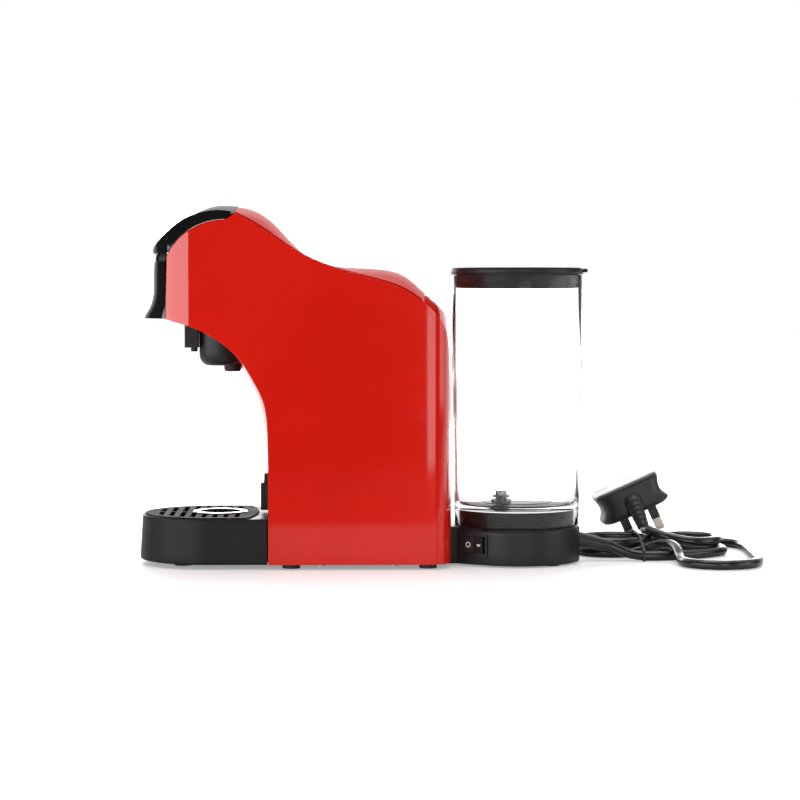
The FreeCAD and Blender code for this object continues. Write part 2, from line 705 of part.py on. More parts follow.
def tank_seat():
    """Round boss that the tank stands on, with the socket for its valve."""
    top = tank_floor_z - 0.2
    boss = disc(seat_radius, tank_x, base_top_z, top).cut(disc(seat_radius - 3, tank_x, 0, top - 3))
    plug_in = disc(valve_flange_radius - seam, valve_x, base_top_z - 4, base_top_z + 1)
    boss = boss.fuse([plug_in, disc(valve_flange_radius + 2, valve_x, base_top_z, top)])
    boss = boss.cut(disc(valve_flange_radius, valve_x, base_top_z + 2.4, top + 1))
    return one(boss.cut(disc(hose_radius, valve_x, 0, top)))


def dock_seal():
    """Rubber ring at the bottom of the valve's socket."""
    return tube(valve_flange_radius - seam, hose_radius + 0.5, valve_x, base_top_z + 2.4,
                valve_bottom_z - gap)


def chassis_plate():
    """Bottom plate of the whole machine, with a tongue under the drip tray."""
    z0, z1 = foot_height, foot_height + plate_thickness
    half = body_width / 2 - shell_wall - seam
    front = column_front_x + shell_wall + seam
    plate = block(front, back_x - 3 * shell_wall + 1, -half, half, z0, z1)
    plate = plate.common(plan_prism(shell_wall + seam))
    plate = plate.cut(base_prism(-seam, z0 - 1, z1 + 1))
    nose = disc(tongue_width / 2, tray_nose_x + tray_width / 2, z0, z1)
    plate = plate.fuse([nose, block(tray_nose_x + tray_width / 2, front + 5,
                                    -tongue_width / 2, tongue_width / 2,
                                    z0, z1)])
    plate = plate.fuse(base_prism(base_wall + seam, z0, z1))
    return one(plate)


def feet():
    """Rubber feet."""
    spots = [(tray_nose_x + 31, 19), (-50, 38), (44, 38), (tank_x + 22, 26)]
    return group([disc(6, x, 0, foot_height, side * y) for x, y in spots for side in (-1, 1)])


def chassis_frame():
    """Two upright sides and a shelf that carry the head, the lid hinge and the works."""
    low = foot_height + plate_thickness
    outline = [(-61.5, low), (46, low), (46, 150), (36, 170), (22, 184), (-14, 195), (-38, 204),
               (-53, 213), (-60, 222), (-65, lid_hinge_z), (-68.5, lid_hinge_z + 4),
               (-76, lid_hinge_z + 4), (-80, 222), (-86, 209),
               (head_front_x + 5, 209), (head_front_x + 5, 177), (-113, 171.5), (-94, 161.5), (-82, 151),
               (-71, 136), (-64, 121), (-61.5, 106)]
    sides = side_polygon(outline, -frame_inner_y - frame_thickness, frame_inner_y + frame_thickness)
    sides = sides.cut(block(-200, 100, -frame_inner_y, frame_inner_y, 0, 300))
    shelf = block(-55, 44, -frame_inner_y, frame_inner_y, boiler_z - 24, boiler_z - 21)
    foot_tie = block(-55, 44, -frame_inner_y, frame_inner_y, low, low + 2)
    reach = frame_inner_y + frame_thickness + 1
    bore = rod(lid_pin_radius, (lid_hinge_x, -reach, lid_hinge_z), (lid_hinge_x, reach, lid_hinge_z))
    return one(sides.fuse([shelf, foot_tie]).cut(bore).cut(disc(hose_radius + 1.5, boiler_x - 44, 60, 120)))


def boiler():
    """Upright boiler with domed ends."""
    low = boiler_z - 21
    body = disc(boiler_radius, boiler_x, low + 3, low + 3 + boiler_length)
    return body.makeFillet(6.0, [edge for edge in body.Edges if edge.Length > 50 and edge.isClosed()])


def boiler_bracket():
    """Plate ring that seats the boiler on the shelf."""
    low = boiler_z - 21
    plate = block(boiler_x - 28, boiler_x + 28, -28, 28, low, low + 3)
    rim = tube(boiler_radius + 2, boiler_radius + 0.1, boiler_x, low + 3, low + 14)
    return one(plate.fuse(rim))


def thermostat():
    """Thermal cut-out on top of the boiler."""
    top = boiler_z - 18 + boiler_length
    return one(disc(8, boiler_x, top, top + 5).fuse(disc(4, boiler_x, top + 5, top + 9)))


def pump():
    """Vibration pump lying along the machine."""
    body = rod(pump_radius - 4, (pump_x - 8, 0, pump_z), (pump_x + pump_length + 10, 0, pump_z))
    coil = block(pump_x, pump_x + pump_length, -pump_radius, pump_radius,
                 pump_z - pump_radius, pump_z + pump_radius)
    return one(body.fuse(coil))


def pump_mounts():
    """Two rubber blocks under the pump."""
    low = foot_height + plate_thickness + 2
    spots = (pump_x + 8, pump_x + pump_length - 8)
    return group([block(x - 6, x + 6, -12, 12, low, pump_z - pump_radius) for x in spots])


def flow_meter():
    """Flow meter between the tank and the pump."""
    low = foot_height + plate_thickness + 2
    body = disc(11, back_x - 24, low + 4, low + 16, -18)
    return one(body.fuse(block(back_x - 34, back_x - 14, -26, -10, low, low + 4)))


def control_board():
    """Control board on posts on the chassis side."""
    y = frame_inner_y - 6
    board = block(board_front_x, board_rear_x, y - board_thickness, y, board_bottom_z, board_top_z)
    posts = [rod(2.5, (x, y, z), (x, frame_inner_y, z)) for x in (board_front_x + 6, board_rear_x - 6)
             for z in (board_bottom_z + 6, board_top_z - 5.5)]
    relay = block(board_front_x + 18, board_front_x + 38, y - 12, y - board_thickness,
                  board_top_z - 17.5, board_top_z - 3.5)
    return one(board.fuse(posts).fuse(relay))


def hose(points, bend):
    """Round hose along straight runs with an arc of the given radius at each corner."""
    edges = []
    start = vec(*points[0])
    for before, corner, after in zip(points, points[1:], points[2:]):
        centre = vec(*corner)
        into = (centre - vec(*before)).normalize()
        out = (vec(*after) - centre).normalize()
        turn = into.getAngle(out)
        tangent = bend * math.tan(turn / 2)
        a, b = centre - into * tangent, centre + out * tangent
        bisector = (out - into).normalize()
        middle = centre + bisector * (bend / math.cos(turn / 2) - bend)
        edges.append(Part.makeLine(start, a))
        edges.append(Part.Arc(a, middle, b).toShape())
        start = b
    edges.append(Part.makeLine(start, vec(*points[-1])))
    path = Part.Wire(edges)
    direction = vec(*points[1]) - vec(*points[0])
    ring = Part.Wire(Part.makeCircle(hose_radius, vec(*points[0]), direction))
    return path.makePipeShell([ring], True, False)


def water_hoses():
    """Silicone hoses: tank to flow meter, pump to boiler, boiler to brew chamber."""
    meter_x, meter_z = back_x - 24, foot_height + plate_thickness + 12
    boiler_top = boiler_z - 18 + boiler_length
    supply = hose([(valve_x, 0, base_top_z - 4), (valve_x, 0, 14), (70, -10, 14),
                   (meter_x + 11, -18, meter_z)], 5)
    feed = hose([(pump_x - 8, 0, pump_z), (boiler_x - 44, 0, pump_z), (boiler_x - 44, 0, boiler_z + 6),
                 (boiler_x - boiler_radius, 0, boiler_z + 6)], 6)
    brew = hose([(boiler_x - 12, 0, boiler_top), (boiler_x - 12, 0, 180), (-60, 0, 192),
                 (chamber_x + chamber_radius, 0, 192)], 8)
    return group([supply, feed, brew])


# ---------------------------------------------------------------- brew buttons
def under_spine(rise):
    """Everything under the spine cover's outer surface, raised by rise."""
    return crowned_block(SPINE_SIDE, SPINE_MIDDLE, body_width / 2, crown_floor_z, -rise)


def button_housing():
    """Two ring bezels in the spine cover over one switch tray."""
    tray_top = switch_tray_z + switch_tray_thickness
    parts = [block(button_x - switch_tray_half, button_x + switch_tray_half, -button_pitch, button_pitch,
                   switch_tray_z, tray_top)]
    for side in (-1, 1):
        y = side * button_pitch / 2
        ring = tube(button_radius + bezel_wall, button_radius + gap, button_x, switch_tray_z, head_top_z, y)
        parts.append(ring.common(under_spine(0.3)))
    return one(parts[0].fuse(parts[1:]))


def brew_button(side):
    """Round push button, flush with its bezel."""
    y = side * button_pitch / 2
    low = switch_tray_z + switch_tray_thickness + button_travel + gap
    return disc(button_radius, button_x, low, head_top_z, y).common(under_spine(0.6))


# ---------------------------------------------------------------- drip tray
def tray_outline(inset, z, rear=0.0, corner=0.0):
    """The tray's outline from above: a half-round nose and straight sides to the rear."""
    half = tray_width / 2 - inset
    tip = tray_nose_x + inset
    points = end_curve(tray_nose_x + tray_width / 2, tip, half, 2.0, 7)
    nose = spline([(x, y, z) for x, y, _ in points])
    back = tray_rear_x - rear
    first, last = vec(points[0][0], points[0][1], z), vec(points[-1][0], points[-1][1], z)
    edges = [nose]
    if corner:
        a, b = vec(back - corner, -half, z), vec(back - corner, half, z)
        edges.append(Part.makeLine(first, a))
        edges.append(Part.Arc(a, vec(back, 0, z), b).toShape())
        edges.append(Part.makeLine(b, last))
    else:
        a, b = vec(back, -half, z), vec(back, half, z)
        for start, end in ((first, a), (a, b), (b, last)):
            edges.append(Part.makeLine(start, end))
    return Part.Wire(Part.__sortEdges__(edges))


def tray_block(inset, z0, z1, rear=0.0, corner=0.0):
    """The tray's outline carried from z0 to z1."""
    return Part.Face(tray_outline(inset, z0, rear, corner)).extrude(vec(0, 0, z1 - z0))


def drip_tray():
    """Black tray with a half-round nose; its deck has a pocket for the grid."""
    outer = Part.makeLoft([tray_outline(0, tray_bottom_z), tray_outline(tray_draft, tray_top_z)], True, True)
    ledge_z = tray_top_z - 1.4
    pocket = tray_block(tray_draft + 1.6, ledge_z, tray_top_z + 1, 7.0, 6.0)
    well = tray_block(tray_draft + 4.0, tray_floor_z + tray_wall, ledge_z + 1, 10.0, 6.0)
    under = tray_block(tray_draft + 8.0, tray_bottom_z - 1, tray_floor_z)
    tray = outer.cut(pocket).cut(well).cut(under)
    return one(tray.cut(block(tray_nose_x + 30, tray_rear_x + 1, -tongue_width / 2 - 1, tongue_width / 2 + 1,
                              0, tray_floor_z)))


def tray_grid():
    """Perforated black plate over the tray, with a round opening under the spout."""
    low = tray_top_z - 1.4 + seam
    plate = tray_block(tray_draft + 1.6 + gap, low, low + grid_thickness, 7.0 + gap, 6.0)
    plate = plate.cut(disc(grid_hole_radius, grid_x, 0, 60))
    field = tray_block(tray_draft + 8.0, 0, 60, 15.0, 6.0).cut(disc(grid_ring_radius + 1, grid_x, 0, 60))
    slots = []
    count = int((tray_rear_x - tray_nose_x - 24) / slot_pitch)
    for index in range(count):
        x = tray_nose_x + 14 + index * slot_pitch
        slots.append(block(x, x + slot_width, -tray_width / 2, -1.6, 0, 60))
        slots.append(block(x, x + slot_width, 1.6, tray_width / 2, 0, 60))
    return one(plate.cut([slot.common(field) for slot in slots]))


def grid_ring():
    """Bright ring round the opening in the grid."""
    low = tray_top_z - 1.4 + seam + grid_thickness
    return tube(grid_ring_radius, grid_hole_radius, grid_x, low, low + 0.8)


def tray_post():
    """Stepped post on the column's front, behind the tray."""
    half = post_width / 2
    back = column_front_x + 1.5
    lower = block(post_front_x, back, -half, half, post_bottom_z, post_shoulder_z)
    upper = block(post_front_x + 2.2, back, -half + 4, half - 4, post_shoulder_z, post_top_z)
    return one(lower.fuse(upper).cut(front_cover()))


# ---------------------------------------------------------------- water tank
def tank_radius(z):
    """Outside radius of the drafted tank at height z."""
    share = (z - tank_bottom_z) / (tank_rim_z - tank_bottom_z)
    return tank_bottom_radius + share * (tank_top_radius - tank_bottom_radius)


def tank_cone(inset, z0, z1):
    """A slice of the drafted tank, drawn in by inset."""
    return cone(tank_radius(z0) - inset, tank_radius(z1) - inset, tank_x, z0, z1)


def water_tank():
    """Clear round tank with a floor above its skirt."""
    body = tank_cone(0, tank_bottom_z, tank_rim_z)
    body = body.cut(tank_cone(tank_wall, tank_floor_z + tank_floor, tank_rim_z + 1))
    body = body.cut(tank_cone(tank_wall, tank_bottom_z - 1, tank_floor_z))
    return one(body.cut(disc(valve_radius, valve_x, 0, tank_rim_z)))


def valve_body():
    """Outlet valve through the tank's floor: flanged, with a bore for the poppet."""
    floor_top = tank_floor_z + tank_floor
    body = disc(valve_radius, valve_x, valve_bottom_z, floor_top)
    body = body.fuse(disc(valve_flange_radius, valve_x, floor_top, floor_top + 2.2))
    body = body.fuse(disc(3.9, valve_x, floor_top + 2.2, floor_top + 4.4))
    body = body.fuse(disc(valve_flange_radius - 1, valve_x, floor_top + 4.4, valve_top_z - 2.9))
    return one(body.cut(disc(valve_bore, valve_x, 0, 80)))


def valve_filter():
    """Cap with a filter mesh over the valve."""
    return disc(3.9, valve_x, valve_top_z - 2.9, valve_top_z)


def valve_poppet():
    """Sprung poppet inside the valve."""
    return disc(poppet_radius, valve_x, valve_bottom_z + 0.8, valve_top_z - 2.9 - poppet_travel - gap)


def tank_lid():
    """Black lid with a skirt inside the tank and a finger tab at the rear."""
    under = tank_rim_z + gap
    lid = disc(tank_lid_radius, tank_x, under, tank_lid_top_z)
    skirt_low = tank_lid_top_z - tank_lid_depth
    inside = tank_radius(skirt_low) - tank_wall - gap
    skirt = disc(inside, tank_x, skirt_low, under).cut(disc(inside - 1.8, tank_x, 0, under + 1))
    tab = block(tank_x + tank_lid_radius - 5, tank_tab_x, -9, 9, under + 1, tank_lid_top_z - 0.8)
    return one(lid.cut(disc(tank_lid_radius - 3, tank_x, 0, under + 2)).fuse(skirt).fuse(tab).fuse(
        tube(tank_lid_radius - 2, inside - 1.8, tank_x, under, under + 2)))


# ---------------------------------------------------------------- fasteners
def shell_screws():
    """Countersunk screws under the bottom plate."""
    spots = [(-30, 44), (20, 44), (tank_x - 18, 22), (tank_x + 30, 0)]
    screws = []
    for x, y in spots:
        for side in ((-1, 1) if y else (1,)):
            screws.append(disc(3.2, x, foot_height - 1.2, foot_height, side * y))
    return group(screws)


# ---------------------------------------------------------------- mains cord and plug
cord_exit_x = tank_x + base_radius
on_table = cord_radius + 0.2    # height of the cord's middle where it lies on the table
second_layer = on_table + 7.2
third_layer = second_layer + 7.1
# Leaves the gland, drops to the table and runs to the tied bundle.
CORD_TO_HANK = [(cord_exit_x + gland_reach, 0, 10.5), (184, -0.5, 5.6), (196, -3, on_table)]
# Leaves the bundle and runs to the plug's strain relief.
CORD_TO_PLUG = [(203.5, 42, third_layer), (204, 50, third_layer), (204, 58, third_layer)]
plug_loop_radius = 22.5
left_loop_radius = 22.0
right_loop_radius = 23.0
outer_corner_radius = 26.0
tie_x = 197.0
tie_wire = 0.8
plug_tilt = 24.0
plug_x = 193.0                # middle of the plug's cover
plug_y = 98.0
plug_z = 47.4
plug_depth = 24.0
plug_length = 46.0
pin_length = 17.7
earth_length = 22.7


def cord_tube(points):
    """Round cord along straight runs; each corner's arc is as large as its runs allow."""
    edges = []
    start = vec(*points[0])
    for before, corner, after in zip(points, points[1:], points[2:]):
        centre = vec(*corner)
        into, out = centre - vec(*before), vec(*after) - centre
        turn = into.getAngle(out)
        tangent = 0.45 * min(into.Length, out.Length)
        radius = tangent / math.tan(turn / 2)
        print("cord radius %.0f mm" % radius)
        into.normalize()
        out.normalize()
        a, b = centre - into * tangent, centre + out * tangent
        middle = centre + (out - into).normalize() * (radius / math.cos(turn / 2) - radius)
        edges.append(Part.makeLine(start, a))
        edges.append(Part.Arc(a, middle, b).toShape())
        start = b
    edges.append(Part.makeLine(start, vec(*points[-1])))
    path = Part.Wire(edges)
    direction = vec(*points[1]) - vec(*points[0])
    ring = Part.Wire(Part.makeCircle(cord_radius, vec(*points[0]), direction))
    tube_solid = path.makePipeShell([ring], True, False)
    section = math.pi * cord_radius ** 2
    print("cord volume / section x length = %.4f" % (tube_solid.Volume / section / path.Length))
    return tube_solid


def cord_gland():
    """Tapered rubber strain relief at the back of the tank base."""
    inside = rod(cord_radius + 2.1, (cord_exit_x - base_wall - 2, 0, gland_z),
                 (cord_exit_x + 0.5, 0, gland_z))
    end = CORD_TO_HANK[0]
    axis = vec(*end) - vec(cord_exit_x, 0, gland_z)
    taper = Part.makeCone(cord_radius + 2.1, cord_radius + 0.5, axis.Length,
                          vec(cord_exit_x, 0, gland_z), axis)
    return one(inside.fuse(taper))


def turn(x, y, radius, first, last, z):
    """Points round part of a loop about (x, y), from one angle in degrees to another."""
    steps = round(abs(last - first) / 32)
    reach = radius / math.sqrt(math.cos(math.radians((last - first) / steps / 2)))
    angles = [math.radians(first + (last - first) * k / steps) for k in range(steps + 1)]
    return [(x + reach * math.cos(angle), y + reach * math.sin(angle), z) for angle in angles]


def hank_route():
    """The bundle's loops in turn: small right, left, outer, left again and small right on top."""
    low, high, top = on_table, second_layer, third_layer
    route = CORD_TO_HANK[-1:] + [(209, -3, low), (222, 0, low), (235, 7, low)]
    route += turn(236, 38, right_loop_radius, -50, 100, low)
    route += [(218, 57, low), (204, 54, low), (191, 56, low)]
    route += turn(176.5, 38, left_loop_radius, 100, 265, low)
    route += [(187, 16.5, low), (199, 18, 5.5), (210, 15, 10.4), (217.5, 4, 11.4), (220, -10, 9),
              (220, -24, low)]
    route += turn(246, -33, outer_corner_radius, 195, 350, low)
    route += [(274.5 + 0.7 * k, -24 + 14 * k, low) for k in range(6)]
    route += turn(252, 60, outer_corner_radius, 5, 120, low)
    route += [(227, 75, low), (216, 68, 5.5), (204, 63, 9), (191, 61, high)]
    route += turn(176.5, 38.5, left_loop_radius, 97, 280, high)
    route += [(192, 19, high), (202, 28, high), (209, 40, high), (216, 52, high)]
    route += turn(233, 41, plug_loop_radius, 115, -75, high)
    route += [(226, 19.5, 12), (214, 22.5, 15), (206, 31, 17.4)]
    return route + CORD_TO_PLUG[:1]


def cord_hank():
    """The tied loops of cord, on one smooth line."""
    poles = [vec(*point) for point in hank_route()]
    spans = len(poles) - 2
    line = Part.BSplineCurve()
    line.buildFromPolesMultsKnots(poles, [3] + [1] * (spans - 1) + [3], list(range(spans + 1)), False, 2)
    ring = Part.Wire(Part.makeCircle(cord_radius - 0.1, poles[0], poles[1] - poles[0]))
    return Part.Wire(line.toShape()).makePipeShell([ring], True, False)


def in_plug(shape):
    """Moves a shape drawn with the plug's cover at z=0 and its pins pointing down into place."""
    placed = shape.copy()
    placed.rotate(vec(0, 0, 0), vec(0, 1, 0), -plug_tilt)
    placed.translate(vec(plug_x, plug_y, plug_z))
    return placed


def plug_body():
    """Moulded body of a three-pin plug, waisted at the sides for the fingers."""
    half = plug_length / 2
    outline = [(-25, -2.5), (-23.4, -10), (-23.0, -15), (-27.0, -plug_depth + 2), (-26.0, -plug_depth),
               (26.0, -plug_depth), (27.0, -plug_depth + 2), (23.0, -15), (23.4, -10), (25, -2.5)]
    return in_plug(side_polygon(outline, -half, half))


def plug_cover():
    """Bare cover of the plug."""
    half = plug_length / 2
    cover = block(-25, 25, -half, half, -2.5, 0)
    return in_plug(cover)


def plug_pins():
    """Two flat live pins and the longer earth pin."""
    low = -plug_depth
    pins = [block(x - 3.15, x + 3.15, -plug_length / 2 + 7, -plug_length / 2 + 11, low - pin_length, low)
            for x in (-11.1, 11.1)]
    pins.append(block(-2, 2, plug_length / 2 - 16.9, plug_length / 2 - 8.9, low - earth_length, low))
    return in_plug(group(pins))


def plug_relief():
    """Ribbed strain relief between the plug and its cord."""
    half = plug_length / 2
    start = vec(0, -half, -plug_depth / 2 - 1)
    start = FreeCAD.Rotation(vec(0, 1, 0), -plug_tilt).multVec(start) + vec(plug_x, plug_y, plug_z)
    end = vec(*CORD_TO_PLUG[-1])
    axis = end - start
    return Part.makeCone(6.5, cord_radius + 0.8, axis.Length, start, axis).cut(plug_body())


def cord_tie():
    """Thin wire tie drawn round the bundle's strands."""
    corners = [(-7.6, 0.05), (-7.6, 7.6), (21.5, 15.3), (62.5, 15.3), (66.6, 11.5), (66.6, 7.0), (58.5, 0.05)]
    wire = Part.makePolygon([vec(tie_x - tie_wire, y, z) for y, z in corners + corners[:1]])
    inside = wire.makeOffset2D(-tie_wire / 2)
    return Part.Face(wire).cut(Part.Face(inside)).extrude(vec(2 * tie_wire, 0, 0))


PIECES = {
    "spine_cover": spine_cover, "rear_cover": rear_cover, "front_cover": front_cover,
    "head_front_plate": head_front_plate, "side_trims": side_trims, "lid_shell": lid_shell,
    "lid_frame": lid_frame, "lid_lugs": lid_lugs, "handle_pin": handle_pin, "lid_hinge_pin": lid_hinge_pin,
    "lever_handle": lever_handle, "brew_plunger": brew_plunger, "plunger_seal": plunger_seal,
    "piercing_needle": piercing_needle, "brew_chamber": brew_chamber, "outlet_bowl": outlet_bowl,
    "spout": spout, "outlet_bracket": outlet_bracket, "switch_housing": switch_housing,
    "power_rocker": power_rocker, "tank_base": tank_base, "tank_seat": tank_seat, "dock_seal": dock_seal,
    "chassis_plate": chassis_plate, "feet": feet, "chassis_frame": chassis_frame, "boiler": boiler,
    "boiler_bracket": boiler_bracket, "thermostat": thermostat, "pump": pump, "pump_mounts": pump_mounts,
    "flow_meter": flow_meter, "control_board": control_board, "water_hoses": water_hoses,
    "button_housing": button_housing, "drip_tray": drip_tray, "tray_grid": tray_grid, "grid_ring": grid_ring,
    "tray_post": tray_post, "water_tank": water_tank, "valve_body": valve_body, "valve_filter": valve_filter,
    "valve_poppet": valve_poppet, "tank_lid": tank_lid, "shell_screws": shell_screws,
    "cord_gland": cord_gland, "cord_hank": cord_hank, "cord_tie": cord_tie,
    "plug_body": plug_body, "plug_cover": plug_cover,
    "plug_pins": plug_pins, "plug_relief": plug_relief,
}


def main():
    """Writes every piece to its own file."""
    os.makedirs("parts", exist_ok=True)
    shapes = {name: make() for name, make in PIECES.items()}
    shapes["side_panel_left"], shapes["side_panel_right"] = side_panels()
    shapes["button_short"] = brew_button(-1)
    shapes["button_long"] = brew_button(1)
    shapes["power_cord"] = cord_tube(CORD_TO_HANK)
    shapes["plug_cord"] = cord_tube(CORD_TO_PLUG)
    for name, shape in shapes.items():
        valid = shape.isValid() and all(solid.isClosed() for solid in shape.Solids)
        note = "" if valid else "INVALID"
        print("%-18s %2d solids %10.0f mm3 %s" % (name, len(shape.Solids), shape.Volume, note))
        shape.exportStep("parts/%s.step" % name)


main()
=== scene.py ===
"""Looks of a capsule espresso machine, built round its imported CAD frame.

Metres, +Z up; the front faces -X and the water tank stands at +X. Sizes are written in millimetres and
turned into metres when a mesh is made. Red shells, lid, handle, tray, tank and base are surfaces worked
out as arrays; the works inside keep their CAD meshes.
"""

import json
import math
from contextlib import contextmanager

import bmesh
import bpy
import numpy as np
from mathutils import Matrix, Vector

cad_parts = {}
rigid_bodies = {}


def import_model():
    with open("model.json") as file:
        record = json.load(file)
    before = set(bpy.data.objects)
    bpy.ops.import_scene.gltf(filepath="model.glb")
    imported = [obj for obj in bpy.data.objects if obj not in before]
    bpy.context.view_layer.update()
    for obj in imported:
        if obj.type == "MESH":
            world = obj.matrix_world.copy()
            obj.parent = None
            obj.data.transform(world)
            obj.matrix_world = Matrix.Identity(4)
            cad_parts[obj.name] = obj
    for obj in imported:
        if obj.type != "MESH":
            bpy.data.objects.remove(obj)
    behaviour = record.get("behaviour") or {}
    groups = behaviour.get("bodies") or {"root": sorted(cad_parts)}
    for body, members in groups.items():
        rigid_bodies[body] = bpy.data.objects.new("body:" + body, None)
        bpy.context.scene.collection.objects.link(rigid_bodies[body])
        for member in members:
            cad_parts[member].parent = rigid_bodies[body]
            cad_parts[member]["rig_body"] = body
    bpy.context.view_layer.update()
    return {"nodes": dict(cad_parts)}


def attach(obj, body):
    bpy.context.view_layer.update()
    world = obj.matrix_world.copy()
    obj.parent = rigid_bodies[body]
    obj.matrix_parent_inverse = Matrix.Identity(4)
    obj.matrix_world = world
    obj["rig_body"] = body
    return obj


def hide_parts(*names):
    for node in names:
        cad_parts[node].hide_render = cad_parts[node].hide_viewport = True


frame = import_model()
MM = 0.001


def linked(name, data):
    """New object in the scene."""
    thing = bpy.data.objects.new(name, data)
    bpy.context.scene.collection.objects.link(thing)
    return thing


def aimed(thing, place, target):
    """Puts a camera or a lamp at place, turned to target."""
    thing.location = place
    thing.rotation_euler = (Vector(target) - thing.location).to_track_quat("-Z", "Y").to_euler()


# ---- camera
def make_camera():
    """Level with the top of the tank, far off the machine's side."""
    data = bpy.data.cameras.new("camera")
    data.lens = 109.3
    data.sensor_width = 36.0
    camera = linked("camera", data)
    aimed(camera, (-0.0095, -1.700, 0.201), (0.0255, 0.0, 0.1135))
    data.clip_start, data.clip_end = 0.05, 50.0
    bpy.context.scene.camera = camera


make_camera()


# ---- meshes from arrays
def solid(name, points, faces, body, *stands_for, crease=32.0):
    """Piece from an array of points in millimetres and lists of face corners.

    Doubles are merged, so that seams and poles close, and edges sharper than crease degrees stay sharp."""
    mesh = meshed(name, points, faces)
    weld(mesh)
    soften(mesh, crease)
    return carried_by(linked(name, mesh), body, stands_for)


def meshed(name, points, faces):
    """Mesh from points in millimetres."""
    mesh = bpy.data.meshes.new(name)
    mesh.from_pydata((np.asarray(points, float) * MM).tolist(), [], faces)
    return mesh


def carried_by(piece, body, stands_for):
    """Ties a piece to its body and hides the CAD nodes that it stands for."""
    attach(piece, body)
    if stands_for:
        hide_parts(*stands_for)
    return piece


@contextmanager
def editing(mesh):
    """The mesh opened for bmesh, and written back afterwards."""
    work = bmesh.new()
    work.from_mesh(mesh)
    yield work
    work.to_mesh(mesh)
    work.free()


def weld(mesh, distance=0.01, sliver=0.002, outwards=True):
    """Merges points closer than distance, drops edges under sliver, turns faces outwards."""
    with editing(mesh) as work:
        bmesh.ops.remove_doubles(work, verts=work.verts, dist=distance * MM)
        bmesh.ops.dissolve_degenerate(work, edges=work.edges, dist=sliver * MM)
        if outwards:
            bmesh.ops.recalc_face_normals(work, faces=work.faces)


def soften(mesh, crease):
    """Smooth shading, with edges sharper than crease degrees kept sharp."""
    mesh.polygons.foreach_set("use_smooth", np.ones(len(mesh.polygons), bool))
    mesh.set_sharp_from_angle(angle=math.radians(crease))


def grid_faces(rows, columns, wrap=False, start=0):
    """Corner lists of a grid of quads, closed round its columns if wrap."""
    index = np.arange(rows * columns).reshape(rows, columns) + start
    if wrap:
        index = np.hstack([index, index[:, :1]])
    quads = np.stack([index[:-1, :-1], index[:-1, 1:], index[1:, 1:], index[1:, :-1]], -1)
    return quads.reshape(-1, 4).tolist()


def bar_faces(count):
    """Faces of a bar between two rings of count corners, closed at both ends."""
    ends = [list(range(count)), list(range(2 * count - 1, count - 1, -1))]
    return grid_faces(2, count, wrap=True) + ends


def capped(rings, hubs):
    """Points and faces of a form through equal rings, with a fan to a hub at either end."""
    count = len(rings[0])
    points = np.concatenate(rings)
    faces = grid_faces(len(rings), count, wrap=True)
    ring = np.arange(count)
    for start, hub, way in ((0, len(points), -1), (len(points) - count, len(points) + 1, 1)):
        faces += np.stack([start + ring, start + np.roll(ring, way), np.full(count, hub)], 1).tolist()
    return np.concatenate([points, hubs]), faces


def walled(piece, thickness):
    """Gives a surface a wall of thickness millimetres on its inner side."""
    wall = piece.modifiers.new("wall", "SOLIDIFY")
    wall.thickness = thickness * MM
    wall.offset = -1
    return piece


def bevel(piece, width, segments=3, angle=30.0):
    """Rounds the edges sharper than angle degrees by width millimetres."""
    rounding = piece.modifiers.new("rounding", "BEVEL")
    rounding.width = width * MM
    rounding.segments = segments
    rounding.limit_method = "ANGLE"
    rounding.angle_limit = math.radians(angle)
    rounding.harden_normals = True
    return piece


def cubic(points, count):
    """Natural cubic spline through points, as count rows evenly spread along their chords."""
    points = np.asarray(points, float)
    chord = np.concatenate([[0], np.cumsum(np.linalg.norm(np.diff(points, axis=0), axis=1))])
    step = np.diff(chord)
    size = len(points)
    matrix, right, inner = np.eye(size), np.zeros_like(points), np.arange(1, size - 1)
    matrix[inner, inner - 1] = step[:-1]
    matrix[inner, inner] = 2 * (step[:-1] + step[1:])
    matrix[inner, inner + 1] = step[1:]
    slope = np.diff(points, axis=0) / step[:, None]
    right[1:-1] = 6 * np.diff(slope, axis=0)
    second = np.linalg.solve(matrix, right)
    at = np.linspace(0, chord[-1], count)
    part = np.clip(np.searchsorted(chord, at, side="right") - 1, 0, size - 2)
    h = step[part][:, None]
    a = (chord[part + 1] - at)[:, None] / h
    b = 1 - a
    return (a * points[part] + b * points[part + 1]
            + ((a ** 3 - a) * second[part] + (b ** 3 - b) * second[part + 1]) * h ** 2 / 6)


def tube(name, points, body, node, crease=32.0):
    """Piece from an array of rings of points."""
    faces = grid_faces(*points.shape[:2], wrap=True)
    return solid(name, points.reshape(-1, 3), faces, body, node, crease=crease)


def full_turn(count):
    """Evenly stepped angles round a circle."""
    return np.linspace(0, 2 * math.pi, count, endpoint=False)


def lathe(profile, x, segments=96):
    """Rings of a profile of (radius, height) pairs turned about an upright axis at x."""
    angle = full_turn(segments)
    radius, height = np.array(profile, float).T[:, :, None]
    return np.stack(np.broadcast_arrays(x + radius * np.cos(angle), radius * np.sin(angle), height), -1)


